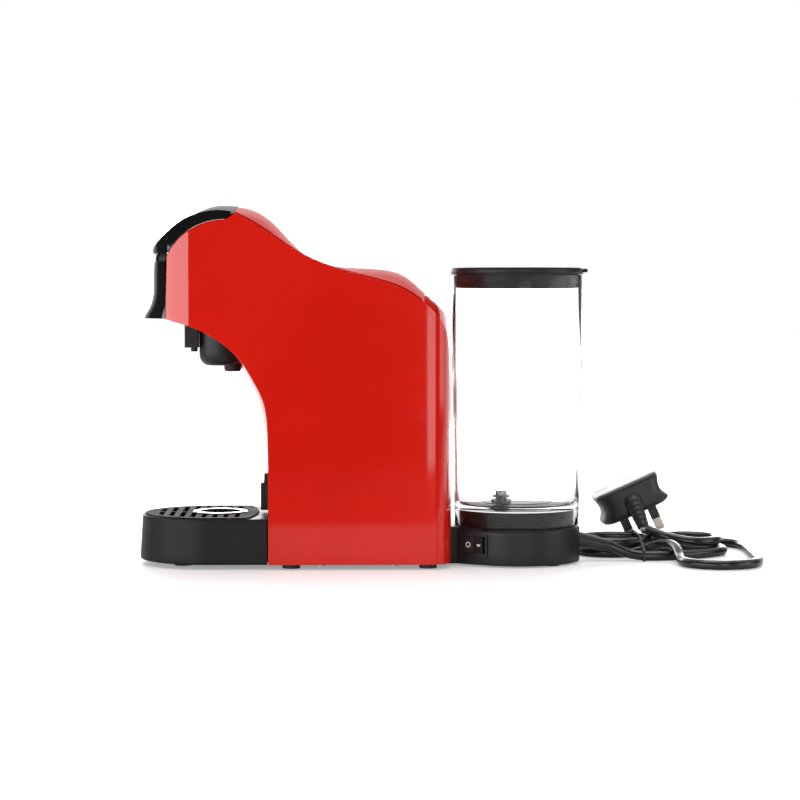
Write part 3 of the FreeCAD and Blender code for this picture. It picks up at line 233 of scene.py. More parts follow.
def rounded(corners, radii, steps=6):
    """A closed outline in a plane with each corner rounded by an arc of its own radius."""
    corners = [np.asarray(c, float) for c in corners]
    path = []
    for index, corner in enumerate(corners):
        into = corners[index - 1] - corner
        out = corners[(index + 1) % len(corners)] - corner
        into_size, out_size = np.linalg.norm(into), np.linalg.norm(out)
        into, out = into / into_size, out / out_size
        half = math.acos(float(np.clip(into @ out, -1, 1))) / 2
        if radii[index] <= 0 or half > math.radians(89.5):
            path.append(corner[None])
            continue
        reach = min(radii[index] / math.tan(half), 0.49 * into_size, 0.49 * out_size)
        true_radius = reach * math.tan(half)
        middle = corner + (into + out) / np.linalg.norm(into + out) * (true_radius / math.sin(half))
        start, end = corner + into * reach - middle, corner + out * reach - middle
        sweep = math.pi - 2 * half
        share = np.linspace(0, 1, steps)[:, None]
        path.append(middle + (np.sin((1 - share) * sweep) * start + np.sin(share * sweep) * end)
                    / math.sin(sweep))
    return np.concatenate(path)


# ---- housing outlines
SIDES = (-1, "left"), (1, "right")
HALF = 52.0
NOSE_FLAT, NOSE, NOSE_POWER = -115.0, -147.5, 2.5
BACK_FLAT, BACK, BACK_POWER = 40.0, 60.7, 4.0
HEAD_X, HEAD_Z, HEAD_RADIUS = -94.3, 194.2, 44.1
COLUMN_FRONT, COLUMN_TOP = -65.4, 96.0
SEAM_X, SEAM_TURN, SEAM_HALF, FOOT_Z = 49.6, 168.0, 49.4, 3.5
BUTTONS, BUTTON_HOLE = [(5.0, -12.0), (5.0, 12.0)], 9.6     # the holes' middles and radius
SPINE_SIDE = [(-86.9, 243.1), (-74.7, 236.5), (-63.0, 228.8), (-50.0, 220.0), (-36.8, 212.7),
              (-15.2, 204.6), (6.5, 198.6), (25.8, 192.2), (38.9, 184.0)]
SPINE_MIDDLE = [(-86.0, 250.8), (-73.5, 247.2), (-60.5, 239.2), (-48.0, 227.6), (-36.0, 218.0),
                (-15.3, 210.8), (8.0, 208.0), (27.5, 203.8), (44.9, 191.9)]
REAR_SIDE = [(38.9, 184.0), (47.0, 176.8), (53.0, 168.0), (56.0, 157.0), (57.0, 145.0)]
REAR_MIDDLE = [(44.9, 191.9), (52.0, 184.0), (57.6, 175.5), (60.2, 163.0), (60.7, 145.0)]
UNDER_SIDE = [(-65.4, 96.0), (-66.2, 107.2), (-69.2, 118.0), (-74.7, 128.9), (-85.0, 144.2),
              (-94.7, 153.1), (-112.9, 163.9), (-135.0, 171.0)]
LID_SIDE = [(-145.5, 215.6), (-139.8, 222.8), (-131.5, 231.6), (-122.0, 238.8), (-110.5, 243.4),
            (-98.0, 245.0), (-87.0, 243.5)]
LID_MIDDLE = [(-146.2, 215.6), (-142.7, 223.0), (-135.5, 231.1), (-125.5, 241.3), (-112.5, 248.9),
              (-99.0, 251.8), (-86.3, 251.1)]
LID_BOTTOM = 215.6
LID_LEAN = 0.03               # share of its width by which the lid's band leans in
PIN_X, PIN_Z = -137.0, 212.0
LUG_RADIUS, LUG_NEAR, LUG_FAR = 5.3, 30.0, 34.0
LEVER_BACK = -135.4


def half_width(x, inset=0.0):
    """Half the housing's width at x: flat sides that close over a superellipse at either end."""
    nose = np.clip((NOSE_FLAT - x) / (NOSE_FLAT - NOSE - inset), 0, 1)
    back = np.clip((x - BACK_FLAT) / (BACK - inset - BACK_FLAT), 0, 1)
    return ((HALF - inset) * (1 - nose ** NOSE_POWER) ** (1 / NOSE_POWER)
            * (1 - back ** BACK_POWER) ** (1 / BACK_POWER))


def crowned(side, middle, share, limit=HALF, inset=0.0):
    """Surface points for outlines side and middle (rows of x, z) and relative widths share.

    At height y a point is side + (1 - (y / 52)^2) (middle - side), and y is share times the
    housing's half width there, at most limit."""
    side, middle = side[:, None, :], middle[:, None, :]
    share = np.asarray(share, float)[None, :]
    y = share * HALF
    for _ in range(6):
        at = side + (1 - (y / HALF) ** 2)[..., None] * (middle - side)
        y = share * np.minimum(limit, half_width(at[..., 0], inset))
    return np.stack([at[..., 0], np.broadcast_to(y, at.shape[:2]), at[..., 1]], -1)


def both_sides(x, z, lean=0.0):
    """Left and right grids of points on the housing's flanks, leaning in by a share of its width."""
    return [np.stack([x, way * half_width(x) * (1 - lean), z], -1) for way, _ in SIDES]


def shell(name, grids, outward, body, *stands_for, wall=2.5, edge=0.5, crease=30.0, holes=()):
    """A thin moulded shell: grids of points welded along their shared edges, walled inwards.

    outward(points) gives the direction that faces turn to; holes are the middles of round openings."""
    points, faces, start = [], [], 0
    for grid in grids:
        rows, columns = grid.shape[:2]
        points.append(grid.reshape(-1, 3))
        faces += grid_faces(rows, columns, start=start)
        start += rows * columns
    points = np.concatenate(points)
    corners = points[np.array(faces)]
    across = np.cross(corners[:, 2] - corners[:, 0], corners[:, 3] - corners[:, 1])
    wrong = (across * outward(corners.mean(1))).sum(1) < 0
    faces = [face[::-1] if flip else face for face, flip in zip(faces, wrong)]
    mesh = meshed(name, points, faces)
    weld(mesh, 0.02, 0.005, outwards=False)
    soften(mesh, crease)
    if holes:
        cut_inside(mesh, holes)
    piece = carried_by(linked(name, mesh), body, stands_for)
    return bevel(walled(piece, wall), edge, angle=crease)


def away_from(x, y, z):
    """Outward direction for faces round a point inside a shell."""
    return lambda points: points - np.array([x, y, z])


def make_side_panels():
    """Each panel is y = half_width(x) between an under outline and an upper one, in columns over x."""
    under = cubic(UNDER_SIDE, 70)[::-1]
    arc_x = np.linspace(-133.8, HEAD_X, 60)
    arc_z = HEAD_Z + np.sqrt(HEAD_RADIUS ** 2 - (arc_x - HEAD_X) ** 2)
    top = cubic([(HEAD_X, HEAD_Z + HEAD_RADIUS), (HEAD_X + 4, HEAD_Z + HEAD_RADIUS + 2.4),
                 SPINE_SIDE[0]], 12)
    spine = cubic(SPINE_SIDE, 120)
    over = np.concatenate([np.stack([arc_x, arc_z], 1), top[1:], spine[1:], [(SEAM_X, SEAM_TURN)]])
    head_x = under[:, 0] + 1.2 * np.clip(1 - (under[:, 0] + 135) / 15, 0, 1)
    back_x = np.concatenate([np.linspace(COLUMN_FRONT, 36, 50), np.linspace(36, SEAM_X, 22)[1:]])
    head_top, back_top = (np.stack([x, np.interp(x, over[:, 0], over[:, 1])], 1) for x in (head_x, back_x))
    back_mid, back_low = (np.stack([back_x, np.full_like(back_x, z)], 1) for z in (COLUMN_TOP, FOOT_Z))
    share = np.linspace(0, 1, 36)[:, None, None]
    flats = [low[None] + share * (high - low)[None]
             for low, high in ((under, head_top), (back_mid, back_top), (back_low, back_mid))]
    both = zip(*(both_sides(flat[..., 0], flat[..., 1]) for flat in flats))
    return [shell("side_shell_" + side, grids, lambda p, way=way: np.array([0, way, 0]), "machine",
                  "side_panel_" + side, edge=0.55)
            for grids, (way, side) in zip(both, SIDES)]


def make_spine():
    """Crowned strip over the top, with two round holes for the brew buttons."""
    side, middle = cubic(SPINE_SIDE, 150), cubic(SPINE_MIDDLE, 150)
    grid = crowned(side, middle, np.linspace(-1, 1, 91), limit=SEAM_HALF)
    return shell("spine_shell", [round_holes(grid, BUTTONS)], lambda p: np.array([0.3, 0, 1.0]), "machine",
                 "spine_cover", edge=0.35, holes=BUTTONS)


def round_holes(grid, centres):
    """Moves the grid's points near each hole's edge onto it, in plan, along the grid's slope."""
    grid = grid.copy()
    reach = 0.975
    for x, y in centres:
        dx, dy = grid[..., 0] - x, grid[..., 1] - y
        away = np.hypot(dx, dy)
        near = np.abs(away - BUTTON_HOLE) < reach
        scale = np.where(near, BUTTON_HOLE / np.maximum(away, 1e-6), 1.0)
        new_x, new_y = x + dx * scale, y + dy * scale
        slope_x = np.gradient(grid[..., 2], axis=0) / np.gradient(grid[..., 0], axis=0)
        slope_y = np.gradient(grid[..., 2], axis=1) / np.gradient(grid[..., 1], axis=1)
        grid[..., 2] += slope_x * (new_x - grid[..., 0]) + slope_y * (new_y - grid[..., 1])
        grid[..., 0], grid[..., 1] = new_x, new_y
    return grid


def cut_inside(mesh, centres):
    """Removes the faces whose middle lies inside the holes, in plan."""
    def inside(middle):
        return any(math.hypot(middle.x / MM - x, middle.y / MM - y) < BUTTON_HOLE - 0.1 for x, y in centres)

    with editing(mesh) as work:
        gone = [face for face in work.faces if inside(face.calc_center_median())]
        bmesh.ops.delete(work, geom=gone, context="FACES")


def make_rear():
    """Back shell: a crowned shoulder (rows down it, shares across) between two upright corner walls."""
    wall_z = np.linspace(142, FOOT_Z, 30)
    side, middle = (np.concatenate([cubic(line, 70), [(line[-1][0], z) for z in wall_z]])
                    for line in (REAR_SIDE, REAR_MIDDLE))
    back = crowned(side, middle, np.linspace(-1, 1, 81))
    power = BACK_POWER
    round_x = BACK_FLAT + (BACK - BACK_FLAT) * (1 - np.abs(back[..., 1] / HALF) ** power) ** (1 / power)
    shoulder_z, fade_height = 150, 60
    fade = np.clip((shoulder_z - back[..., 2]) / fade_height, 0, 1)
    fade = fade ** 2 * (3 - 2 * fade)
    back[..., 0] += fade * (round_x - back[..., 0])
    edge = back[:, -1]
    seam_top, seam_z = REAR_SIDE[0]
    rise = np.clip((edge[:, 2] - SEAM_TURN) / (seam_z - SEAM_TURN), 0, None)
    seam_x = SEAM_X + rise * (seam_top - SEAM_X) + 0.1
    share = np.linspace(0, 1, 16)[None, :]
    wall_x = seam_x[:, None] + share * (edge[:, :1] - seam_x[:, None])
    grids = [back, *both_sides(wall_x, np.repeat(edge[:, 2:], 16, 1))]
    return shell("rear_shell", grids, away_from(20, 0, 90), "machine", "rear_cover", crease=24)


def make_front():
    """Column front that sweeps forward under the head; its middle is pushed out by up to 7 mm."""
    side = [(COLUMN_FRONT, FOOT_Z), (COLUMN_FRONT, 30.0), (COLUMN_FRONT, 65.0)] + UNDER_SIDE
    push = [0, 0, 0.8, 6.0, 7.0, 7.0, 6.0, 3.5, 1.6, 0.4, 0.0]
    middle = [(x - 0.94 * p, z - 0.34 * p * (z > 120)) for (x, z), p in zip(side, push)]
    grid = crowned(cubic(side, 200), cubic(middle, 200), np.linspace(-1, 1, 61), limit=SEAM_HALF, inset=2.6)
    return shell("front_shell", [grid], lambda p: np.array([-1.0, 0, -0.6]), "machine", "front_cover",
                 edge=0.3)


def make_lid():
    """Lid: a crowned arch between two side bands that lean in from the head's round edge."""
    side, middle = cubic(LID_SIDE, 130), cubic(LID_MIDDLE, 130)
    arch = crowned(side, middle, np.linspace(-1, 1, 91))
    arch[..., 1] *= 1 - LID_LEAN
    edge = arch[:, -1]
    low_radius = HEAD_RADIUS + 1.0
    angle = np.arctan2(edge[:, 2] - HEAD_Z, edge[:, 0] - HEAD_X)
    low = np.stack([HEAD_X + low_radius * np.cos(angle), HEAD_Z + low_radius * np.sin(angle)], 1)
    rise = cubic([(HEAD_X, HEAD_Z + low_radius), (HEAD_X + 3.7, HEAD_Z + low_radius + 2.2),
                  LID_SIDE[-1]], 20)
    behind = edge[:, 0] > HEAD_X
    rise_z = np.interp(edge[behind, 0], rise[:, 0], rise[:, 1])
    low[behind] = np.stack([edge[behind, 0], np.minimum(rise_z, edge[behind, 2])], 1)
    start = (HEAD_X - math.sqrt(low_radius ** 2 - (LID_BOTTOM - HEAD_Z) ** 2), LID_BOTTOM)
    low[low[:, 1] < LID_BOTTOM] = start
    share = np.linspace(0, 1, 14)[None, :]
    flat_x = low[:, :1] + share * (edge[:, :1] - low[:, :1])
    flat_z = low[:, 1:] + share * (edge[:, 2:] - low[:, 1:])
    grids = [arch, *both_sides(flat_x, flat_z, LID_LEAN * share)]
    return shell("lid_dome", grids, away_from(-99, 0, 200), "lid", "lid_shell", wall=2.4, edge=0.6,
                 crease=28)


def make_handle():
    """Lever: rows go from its top rear edge down the nose to the pull lip and back under it.

    Ahead of the flat sides the nose is a superellipse; the lip adds reach (1 - share^2) to it."""
    front = cubic([(171.3, -6.5), (174.0, -5.4), (177.0, -3.7), (180.5, -1.8), (185.0, -0.3), (191.0, 0.5),
                   (201.0, 0.6), (210.3, 1.1)], 70)
    share = np.sin(np.linspace(-1, 1, 91) * math.pi / 2)
    y = share * float(half_width(np.array(LEVER_BACK)))
    nose = NOSE_FLAT - (NOSE_FLAT - NOSE) * (1 - np.abs(y / HALF) ** NOSE_POWER) ** (1 / NOSE_POWER)
    height, reach = front[::-1, :1], front[::-1, 1:]
    rows = np.stack(np.broadcast_arrays(nose + reach * (1 - share ** 2), y, height), -1)
    deep = np.linspace(1, 0, 7)[:-1, None, None]
    lid_side, under = (edge + share_in * (LEVER_BACK - edge[:, :1]) * (1, 0, 0)
                       for edge, share_in in ((rows[0], deep), (rows[-1], deep[::-1])))
    grid = np.concatenate([lid_side, rows, under])
    return shell("lever_shell", [grid], away_from(-132, 0, 190), "handle", "lever_handle", wall=1.0,
                 edge=0.35, crease=32)


def make_lugs():
    """Two round lugs that hang the lever on its pin; each narrows into a web behind the nose."""
    around = np.linspace(math.radians(-40), math.radians(220), 40)
    outline = np.stack([PIN_X + LUG_RADIUS * np.cos(around), PIN_Z + LUG_RADIUS * np.sin(around)], 1)
    outline = np.concatenate([outline, [(-141.4, 200.0), (-135.9, 200.0)]])
    count = len(outline)
    lugs = []
    for way, side in SIDES:
        rings = [np.c_[outline[:, 0], np.full(count, way * y), outline[:, 1]] for y in (LUG_NEAR, LUG_FAR)]
        lugs.append(bevel(solid("lever_lug_" + side, np.concatenate(rings), bar_faces(count), "handle",
                                "lever_handle"), 0.4))
    return lugs


def make_trims():
    """Thin bright strips that follow the lid's lower edge on both sides of the head."""
    angle = np.radians(np.linspace(90, 151.5, 60))[:, None]
    around = full_turn(8)
    thick = 0.32
    radius = HEAD_RADIUS + 0.5 + thick * np.cos(around)
    x, z = HEAD_X + radius * np.cos(angle), HEAD_Z + radius * np.sin(angle)
    y = half_width(x) - 0.5 + thick * np.sin(around)
    return [tube("trim_" + side, np.stack([x, way * y, z], -1), "machine", "side_trims")
            for way, side in SIDES]


# ---- drip tray
TRAY_HALF, TRAY_FRONT, TRAY_BACK = 49.5, -156.4, -66.4


def tray_ring(inset, z, rear, bulge):
    """One level of the tray: half-round nose, straight sides and a rear line that may bulge."""
    half, middle_x = TRAY_HALF - inset, TRAY_FRONT + TRAY_HALF
    angle = np.linspace(math.pi / 2, 3 * math.pi / 2, 96)
    nose = np.stack([middle_x + half * np.cos(angle), half * np.sin(angle)], 1)
    back = TRAY_BACK - rear
    side_x = np.linspace(middle_x, back - bulge, 14)[1:]
    low = np.stack([side_x, np.full_like(side_x, -half)], 1)
    across = np.linspace(-1, 1, 26)[1:-1]
    end = np.stack([back - bulge * across ** 2, across * half], 1)
    ring = np.concatenate([nose, low, end, low[::-1] * (1, -1)])
    return np.c_[ring, np.full(len(ring), z)]


def make_tray():
    """Tray skin carried round its outline: foot, drafted side, rim, grid pocket, well and floor."""
    levels = [(9.8, 6.2, 0, 0), (9.8, 3.3, 0, 0), (1.3, 3.3, 0, 0), (0.55, 3.55, 0, 0), (0.15, 4.1, 0, 0),
              (0.05, 4.9, 0, 0)]
    levels += [(0.05 + 1.7 * t, 4.9 + 28.6 * t, 0, 0) for t in np.linspace(0.1, 1.0, 8)]
    levels += [(1.82, 33.9, 0, 0), (1.98, 34.2, 0.1, 0), (2.3, 34.4, 0.3, 0), (3.1, 34.4, 6.6, 6),
               (3.35, 34.25, 6.9, 6), (3.4, 33.9, 7.0, 6), (3.4, 33.0, 7.0, 6), (5.6, 33.0, 9.8, 6),
               (5.8, 32.7, 10, 6), (5.9, 12.0, 10.1, 6), (6.6, 10.0, 10.8, 6), (8.2, 8.6, 12.4, 6),
               (10.5, 8.2, 14.7, 6)]
    hubs = [(-105.0, 0, levels[0][1]), (-105.0, 0, levels[-1][1])]
    points, faces = capped([tray_ring(*level) for level in levels], hubs)
    return solid("tray_body", points, faces, "tray", "drip_tray", crease=36)


# ---- water tank and base
TANK_X = 107.4
TANK_LOW, TANK_TOP = 26.9, 201.2
VALVE_X, BOWL_X, SPOUT_X, GRID_RING_X = 96.6, -99.0, -91.5, -100.5     # upright axes


def tank_radius(z):
    """Outside radius of the drafted tank at height z."""
    return 43.6 + (z - TANK_LOW) / (TANK_TOP - TANK_LOW) * 2.7


def make_tank():
    """Clear drafted cup with a floor above its skirt, in one closed wall."""
    r, wall = tank_radius, 2.2
    profile = [(0, 38.4), (r(38.4) - 4.2, 38.4), (r(37) - 2.6, 37.6), (r(36) - wall, 36.0),
               (r(28) - wall, 27.6), (r(27) - 1.9, 26.9), (r(27) - 0.3, 26.9), (r(28), 27.3), (r(40), 40),
               (r(120), 120), (r(200), 200.4), (r(201) - 0.3, 201.0), (r(201) - 0.7, 201.2),
               (r(201) - 1.6, 201.2), (r(201) - 2.0, 201.0), (r(200) - wall, 200.4), (r(120) - wall, 120),
               (r(50) - wall, 50), (r(44) - 2.3, 44.5), (r(42) - 3.2, 42.0), (r(41) - 5.0, 40.9),
               (r(41) - 8.0, 40.6), (24.4, 40.6), (24.0, 41.2), (23.0, 41.2), (22.6, 40.6), (0, 40.6)]
    return tube("tank_cup", lathe(profile, TANK_X, 160), "tank", "water_tank", 40)


def make_tank_lid():
    """Lid with a soft edge and a shallow dish, its skirt inside the tank, and a finger tab."""
    inside = tank_radius(191.6) - 2.5
    profile = [(0, 205.7), (40.5, 205.7), (42.0, 206.1), (43.0, 206.3), (45.3, 206.3), (46.2, 206.0),
               (46.6, 205.2), (46.6, 202.2), (46.3, 201.6), (45.8, 201.5), (44.6, 201.5), (44.4, 201.7),
               (inside, 201.7), (inside, 192.2), (inside - 0.3, 191.6), (inside - 1.5, 191.6),
               (inside - 1.8, 192.0), (inside - 1.8, 203.4), (0, 203.4)]
    lid = tube("tank_cap", lathe(profile, TANK_X, 160), "tank_top", "tank_lid", 36)
    outline = rounded([(150.0, -10.5), (153.0, -9.0), (156.4, -8.2), (156.4, 8.2), (153.0, 9.0),
                       (150.0, 10.5)], [0, 3.0, 2.6, 2.6, 3.0, 0])
    count = len(outline)
    points = np.concatenate([np.c_[outline, np.full(count, z)] for z in (202.8, 205.5)])
    return [lid, bevel(solid("tank_tab", points, bar_faces(count), "tank_top", crease=36), 0.7)]


def drawn_in(outline, inset):
    """Closed outline moved inwards along its normals by inset; it runs anticlockwise."""
    along = np.roll(outline, -1, 0) - np.roll(outline, 1, 0)
    along /= np.linalg.norm(along, axis=1)[:, None]
    return outline + inset * np.stack([-along[:, 1], along[:, 0]], 1)


def carried(name, outline, levels, body, node, hole):
    """Closed form: the outline drawn in by inset at each (inset, z) level, its ends closed by fans.

    hole(points) marks faces to leave out by their middles."""
    count = len(outline)
    rings = [np.c_[drawn_in(outline, inset), np.full(count, z)] for inset, z in levels]
    hubs = [np.append(outline.mean(0), levels[end][1]) for end in (0, -1)]
    points, faces = capped(rings, hubs)
    middles = np.array([points[face].mean(0) for face in faces])
    faces = [face for face, gone in zip(faces, hole(middles)) if not gone]
    return solid(name, points, faces, body, node)


# Flat face that holds the switch, from its inner corner to its outer one.
FACET_A, FACET_B = np.array([64.5, -24.63]), np.array([87.6, -39.63])
FACET_ALONG = (FACET_B - FACET_A) / np.linalg.norm(FACET_B - FACET_A)
FACET_MIDDLE = (FACET_A + FACET_B) / 2
SWITCH_Z = 15.0
OPENING_X, OPENING_Z = 9.4, 6.4     # half the switch's opening


def make_tank_base():
    """Round base with a flat face each side and a neck; its upper edge is an arc."""
    left, right = FACET_MIDDLE - OPENING_X * FACET_ALONG, FACET_MIDDLE + OPENING_X * FACET_ALONG
    start = math.atan2(FACET_B[1], FACET_B[0] - TANK_X)
    radius, steps, edge, edge_z = 44.3, 120, 3.4, 23.2
    angle = np.linspace(start, -start, steps)
    arc = np.stack([TANK_X + radius * np.cos(angle), radius * np.sin(angle)], 1)
    outline = [(53.2, -23.4), FACET_A, left, right] + list(arc)
    outline += [(x, -y) for x, y in outline[2::-1]]
    radii = [0] * len(outline)
    radii[1] = radii[-2] = 3.0
    radii[4] = radii[3 + steps] = 4.0
    outline = rounded(outline, radii, 8)
    top = [(edge * (1 - math.cos(a)), edge_z + edge * math.sin(a)) for a in np.linspace(0, math.pi / 2, 7)]
    levels = [(2.6, 4.0), (2.6, 1.2), (0.5, 1.2), (0.15, 1.35), (0, 1.8), (0, SWITCH_Z - OPENING_Z),
              (0, SWITCH_Z + OPENING_Z)] + top

    def hole(points):
        from_middle = points[:, :2] - FACET_MIDDLE
        across = np.abs(from_middle @ FACET_ALONG)
        off = np.abs(from_middle @ np.array([-FACET_ALONG[1], FACET_ALONG[0]]))
        return (across < OPENING_X - 0.1) & (off < 0.5) & (np.abs(points[:, 2] - SWITCH_Z) < OPENING_Z)

    return carried("base_shell", outline, levels, "machine", "tank_base", hole)


def make_round_parts():
    """Lathed pieces: tank seat, outlet bowl, spout, grid ring and the tank valve's body and filter."""
    made = {}

    def turned(name, node, body, profile, x, segments=96):
        made[node] = tube(name, lathe(profile, x, segments), body, node, 34)

    turned("seat", "tank_seat", "machine",
           [(0, 38.1), (38.4, 38.1), (39.5, 37.8), (40, 37.0), (40, 27.6), (40.4, 26.9), (41.0, 26.65),
            (41.0, 26.2), (0, 26.2)], TANK_X, 128)
    turned("bowl", "outlet_bowl", "machine",
           [(0, 138.0), (9.6, 138.0), (11.6, 138.5), (13.6, 140.0), (15.0, 142.0), (15.6, 144.0),
            (15.75, 146.5), (15.75, 165.8), (15.4, 166.0), (13.9, 166.0), (13.75, 165.6), (13.75, 147.5),
            (12.5, 146.2), (0, 146.0)], BOWL_X)
    turned("spout_tube", "spout", "machine",
           [(3.2, 145.5), (3.2, 134.4), (3.6, 133.9), (4.2, 133.8), (5.0, 133.9), (5.6, 134.5), (6.0, 135.8),
            (6.0, 145.5), (3.2, 145.5)], SPOUT_X, 64)
    turned("hole_ring", "grid_ring", "grid",
           [(14.55, 35.3), (14.55, 35.8), (14.9, 36.1), (16.0, 36.2), (17.8, 36.2), (18.7, 36.05),
            (19.0, 35.7), (19.0, 35.3), (14.55, 35.3)], GRID_RING_X)
    turned("valve", "valve_body", "tank",
           [(2.5, 31.0), (4.5, 31.0), (5.0, 31.5), (5.0, 40.6), (7.0, 40.6), (7.0, 42.4), (6.7, 42.8),
            (4.2, 42.8), (3.9, 43.1), (3.9, 44.7), (4.2, 45.0), (5.7, 45.0), (6.0, 45.3), (6.0, 46.3),
            (5.7, 46.6), (2.5, 46.6), (2.5, 31.0)], VALVE_X, 64)
    turned("filter", "valve_filter", "tank",
           [(0, 46.6), (3.9, 46.6), (3.9, 48.9), (3.5, 49.4), (3.0, 49.5), (0, 49.5)], VALVE_X, 48)
    return made


def dressed(node, width):
    """Welded copy of a CAD node's mesh with its sharp edges rounded by width millimetres."""
    source = frame["nodes"][node]
    mesh = source.data.copy()
    mesh.materials.clear()
    with editing(mesh) as work:
        bmesh.ops.remove_doubles(work, verts=work.verts, dist=0.002 * MM)
        bmesh.ops.dissolve_limit(work, angle_limit=math.radians(0.6), verts=work.verts, edges=work.edges)
    soften(mesh, 30.0)
    return bevel(carried_by(linked(node + "_piece", mesh), source["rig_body"], [node]), width, 2)


# ---- mains cord
CORD_DIAMETER = 6.8
ON_TABLE = 3.6
SECOND_LAYER = ON_TABLE + 7.2
THIRD_LAYER = SECOND_LAYER + 7.1


def loop_arc(x, y, radius, first, last, z):
    """Points round part of a loop about (x, y), from one angle in degrees to another.

    They lie at radius / sqrt(cos(step / 2)), so that the smooth line through their polygon
    runs at about that radius.
    """
    steps = round(abs(last - first) / 32)
    reach = radius / math.sqrt(math.cos(math.radians((last - first) / steps / 2)))
    angles = [math.radians(first + (last - first) * k / steps) for k in range(steps + 1)]
    return [(x + reach * math.cos(angle), y + reach * math.sin(angle), z) for angle in angles]


def cord_route():
    """Control points from the base's gland to the plug: small right loop, left, outer, left, small right."""
    low, high, top = ON_TABLE, SECOND_LAYER, THIRD_LAYER
    route = [(173.7, 0, 10.5), (184, -0.5, 5.6), (196, -3, low), (209, -3, low), (222, 0, low), (235, 7, low)]
    route += loop_arc(236, 38, 23, -50, 100, low)
    route += [(218, 57, low), (204, 54, low), (191, 56, low)]
    route += loop_arc(176.5, 38, 22, 100, 265, low)
    route += [(187, 16.5, low), (199, 18, 5.5), (210, 15, 10.4), (217.5, 4, 11.4), (220, -10, 9),
              (220, -24, low)]
    route += loop_arc(246, -33, 26, 195, 350, low)
    route += [(274.5 + 0.7 * k, -24 + 14 * k, low) for k in range(6)]
    route += loop_arc(252, 60, 26, 5, 120, low)
    route += [(227, 75, low), (216, 68, 5.5), (204, 63, 9), (191, 61, high)]
    route += loop_arc(176.5, 38.5, 22, 97, 280, high)
    route += [(192, 19, high), (202, 28, high), (209, 40, high), (216, 52, high)]
    route += loop_arc(233, 41, 22.5, 115, -75, high)
    route += [(226, 19.5, 12), (214, 22.5, 15), (206, 31, 17.4)]
    return route + [(203.5, 42, top), (204, 50, top), (204, 58, top)]


def make_cord():
    """The mains cord from the base to the plug on one smooth, looped line."""
    data = bpy.data.curves.new("mains_cord", "CURVE")
    data.dimensions = "3D"
    line = data.splines.new("NURBS")
    route = cord_route()
    line.points.add(len(route) - 1)
    for point, (x, y, z) in zip(line.points, route):
        point.co = (x * MM, y * MM, z * MM, 1.0)
        point.radius = CORD_DIAMETER / 2 * MM
    line.order_u = 3
    line.use_endpoint_u = True
    line.resolution_u = 8
    data.bevel_depth = 1.0
    data.bevel_resolution = 7
    data.use_fill_caps = True
    return carried_by(linked("mains_cord", data), "machine", ["power_cord", "cord_hank", "plug_cord"])


# ---- plug
PLUG_TILT = math.radians(24.0)
PLUG_X, PLUG_Y, PLUG_Z = 193.0, 98.0, 47.4     # middle of the plug's cover


def in_plug(points):
    """Moves points drawn with the plug's cover at z=0 and its pins pointing down into place."""
    x, y, z = np.moveaxis(np.asarray(points, float), -1, 0)
    cosine, sine = math.cos(PLUG_TILT), math.sin(PLUG_TILT)
    return np.stack([PLUG_X + x * cosine - z * sine, PLUG_Y + y, PLUG_Z + x * sine + z * cosine], -1)


def plug_part(name, rows, node):
    """Cushion built from rows of (height, half width, half length) with superellipse sections."""
    rows, power, count = np.array(rows)[:, :, None], 4.5, 120
    across, along = np.cos(full_turn(count)), np.sin(full_turn(count))
    size = (np.abs(across) ** power + np.abs(along) ** power) ** (-1 / power)
    points = np.broadcast_arrays(rows[:, 1] * size * across, rows[:, 2] * size * along, rows[:, 0])
    return tube(name, in_plug(np.stack(points, -1)), "machine", node, 40)


def make_plug():
    """Moulded body waisted at its sides, and its bare cover."""
    body = [(-24, 0, 0), (-24, 21, 19), (-23.7, 23.3, 20.8), (-22.9, 25.2, 22.2), (-21.7, 26.4, 22.9),
            (-20.3, 26.4, 23), (-18.4, 25.2, 23), (-16, 23.6, 23), (-13.5, 23.0, 23), (-10.5, 23.1, 23),
            (-7.5, 23.9, 23), (-5, 24.8, 23), (-3.6, 25.2, 23), (-2.9, 24.9, 22.7), (-2.6, 24.3, 22.2),
            (-2.6, 0, 0)]
    cover = [(-2.7, 0, 0), (-2.7, 24.4, 22.3), (-2.5, 25.0, 22.9), (-1.9, 25.2, 23), (-1.2, 24.8, 22.7),
             (-0.6, 23.8, 21.8), (-0.25, 22.2, 20.4), (0, 19, 17.5), (0.1, 12, 11), (0.15, 0, 0)]
    return (plug_part("plug_body_piece", body, "plug_body"),
            plug_part("plug_cover_piece", cover, "plug_cover"))


def make_relief():
    """Tapered strain relief: radius 6.5 to 4.2 mm with six shallow grooves round it."""
    start, end = in_plug((0, -22.0, -13.0)), np.array([204.0, 58.0, THIRD_LAYER])
    axis = (end - start) / np.linalg.norm(end - start)
    side = np.cross(axis, (0, 0, 1))
    side /= np.linalg.norm(side)
    up = np.cross(side, axis)
    grooves, share = 6, np.linspace(0, 1, 121)
    groove = np.clip(np.sin(share * grooves * 2 * math.pi), 0, 1) ** 0.5
    radius = 6.5 - 2.3 * share - 0.9 * groove * (share > 0.08)
    radius[[0, -1]] = 0
    share[[0, -1]] = share[[1, -2]]
    angle = full_turn(48)[:, None]
    ring = np.cos(angle) * side + np.sin(angle) * up
    points = start + share[:, None, None] * (end - start) + radius[:, None, None] * ring
    return tube("plug_relief_piece", points, "machine", "plug_relief", 50)


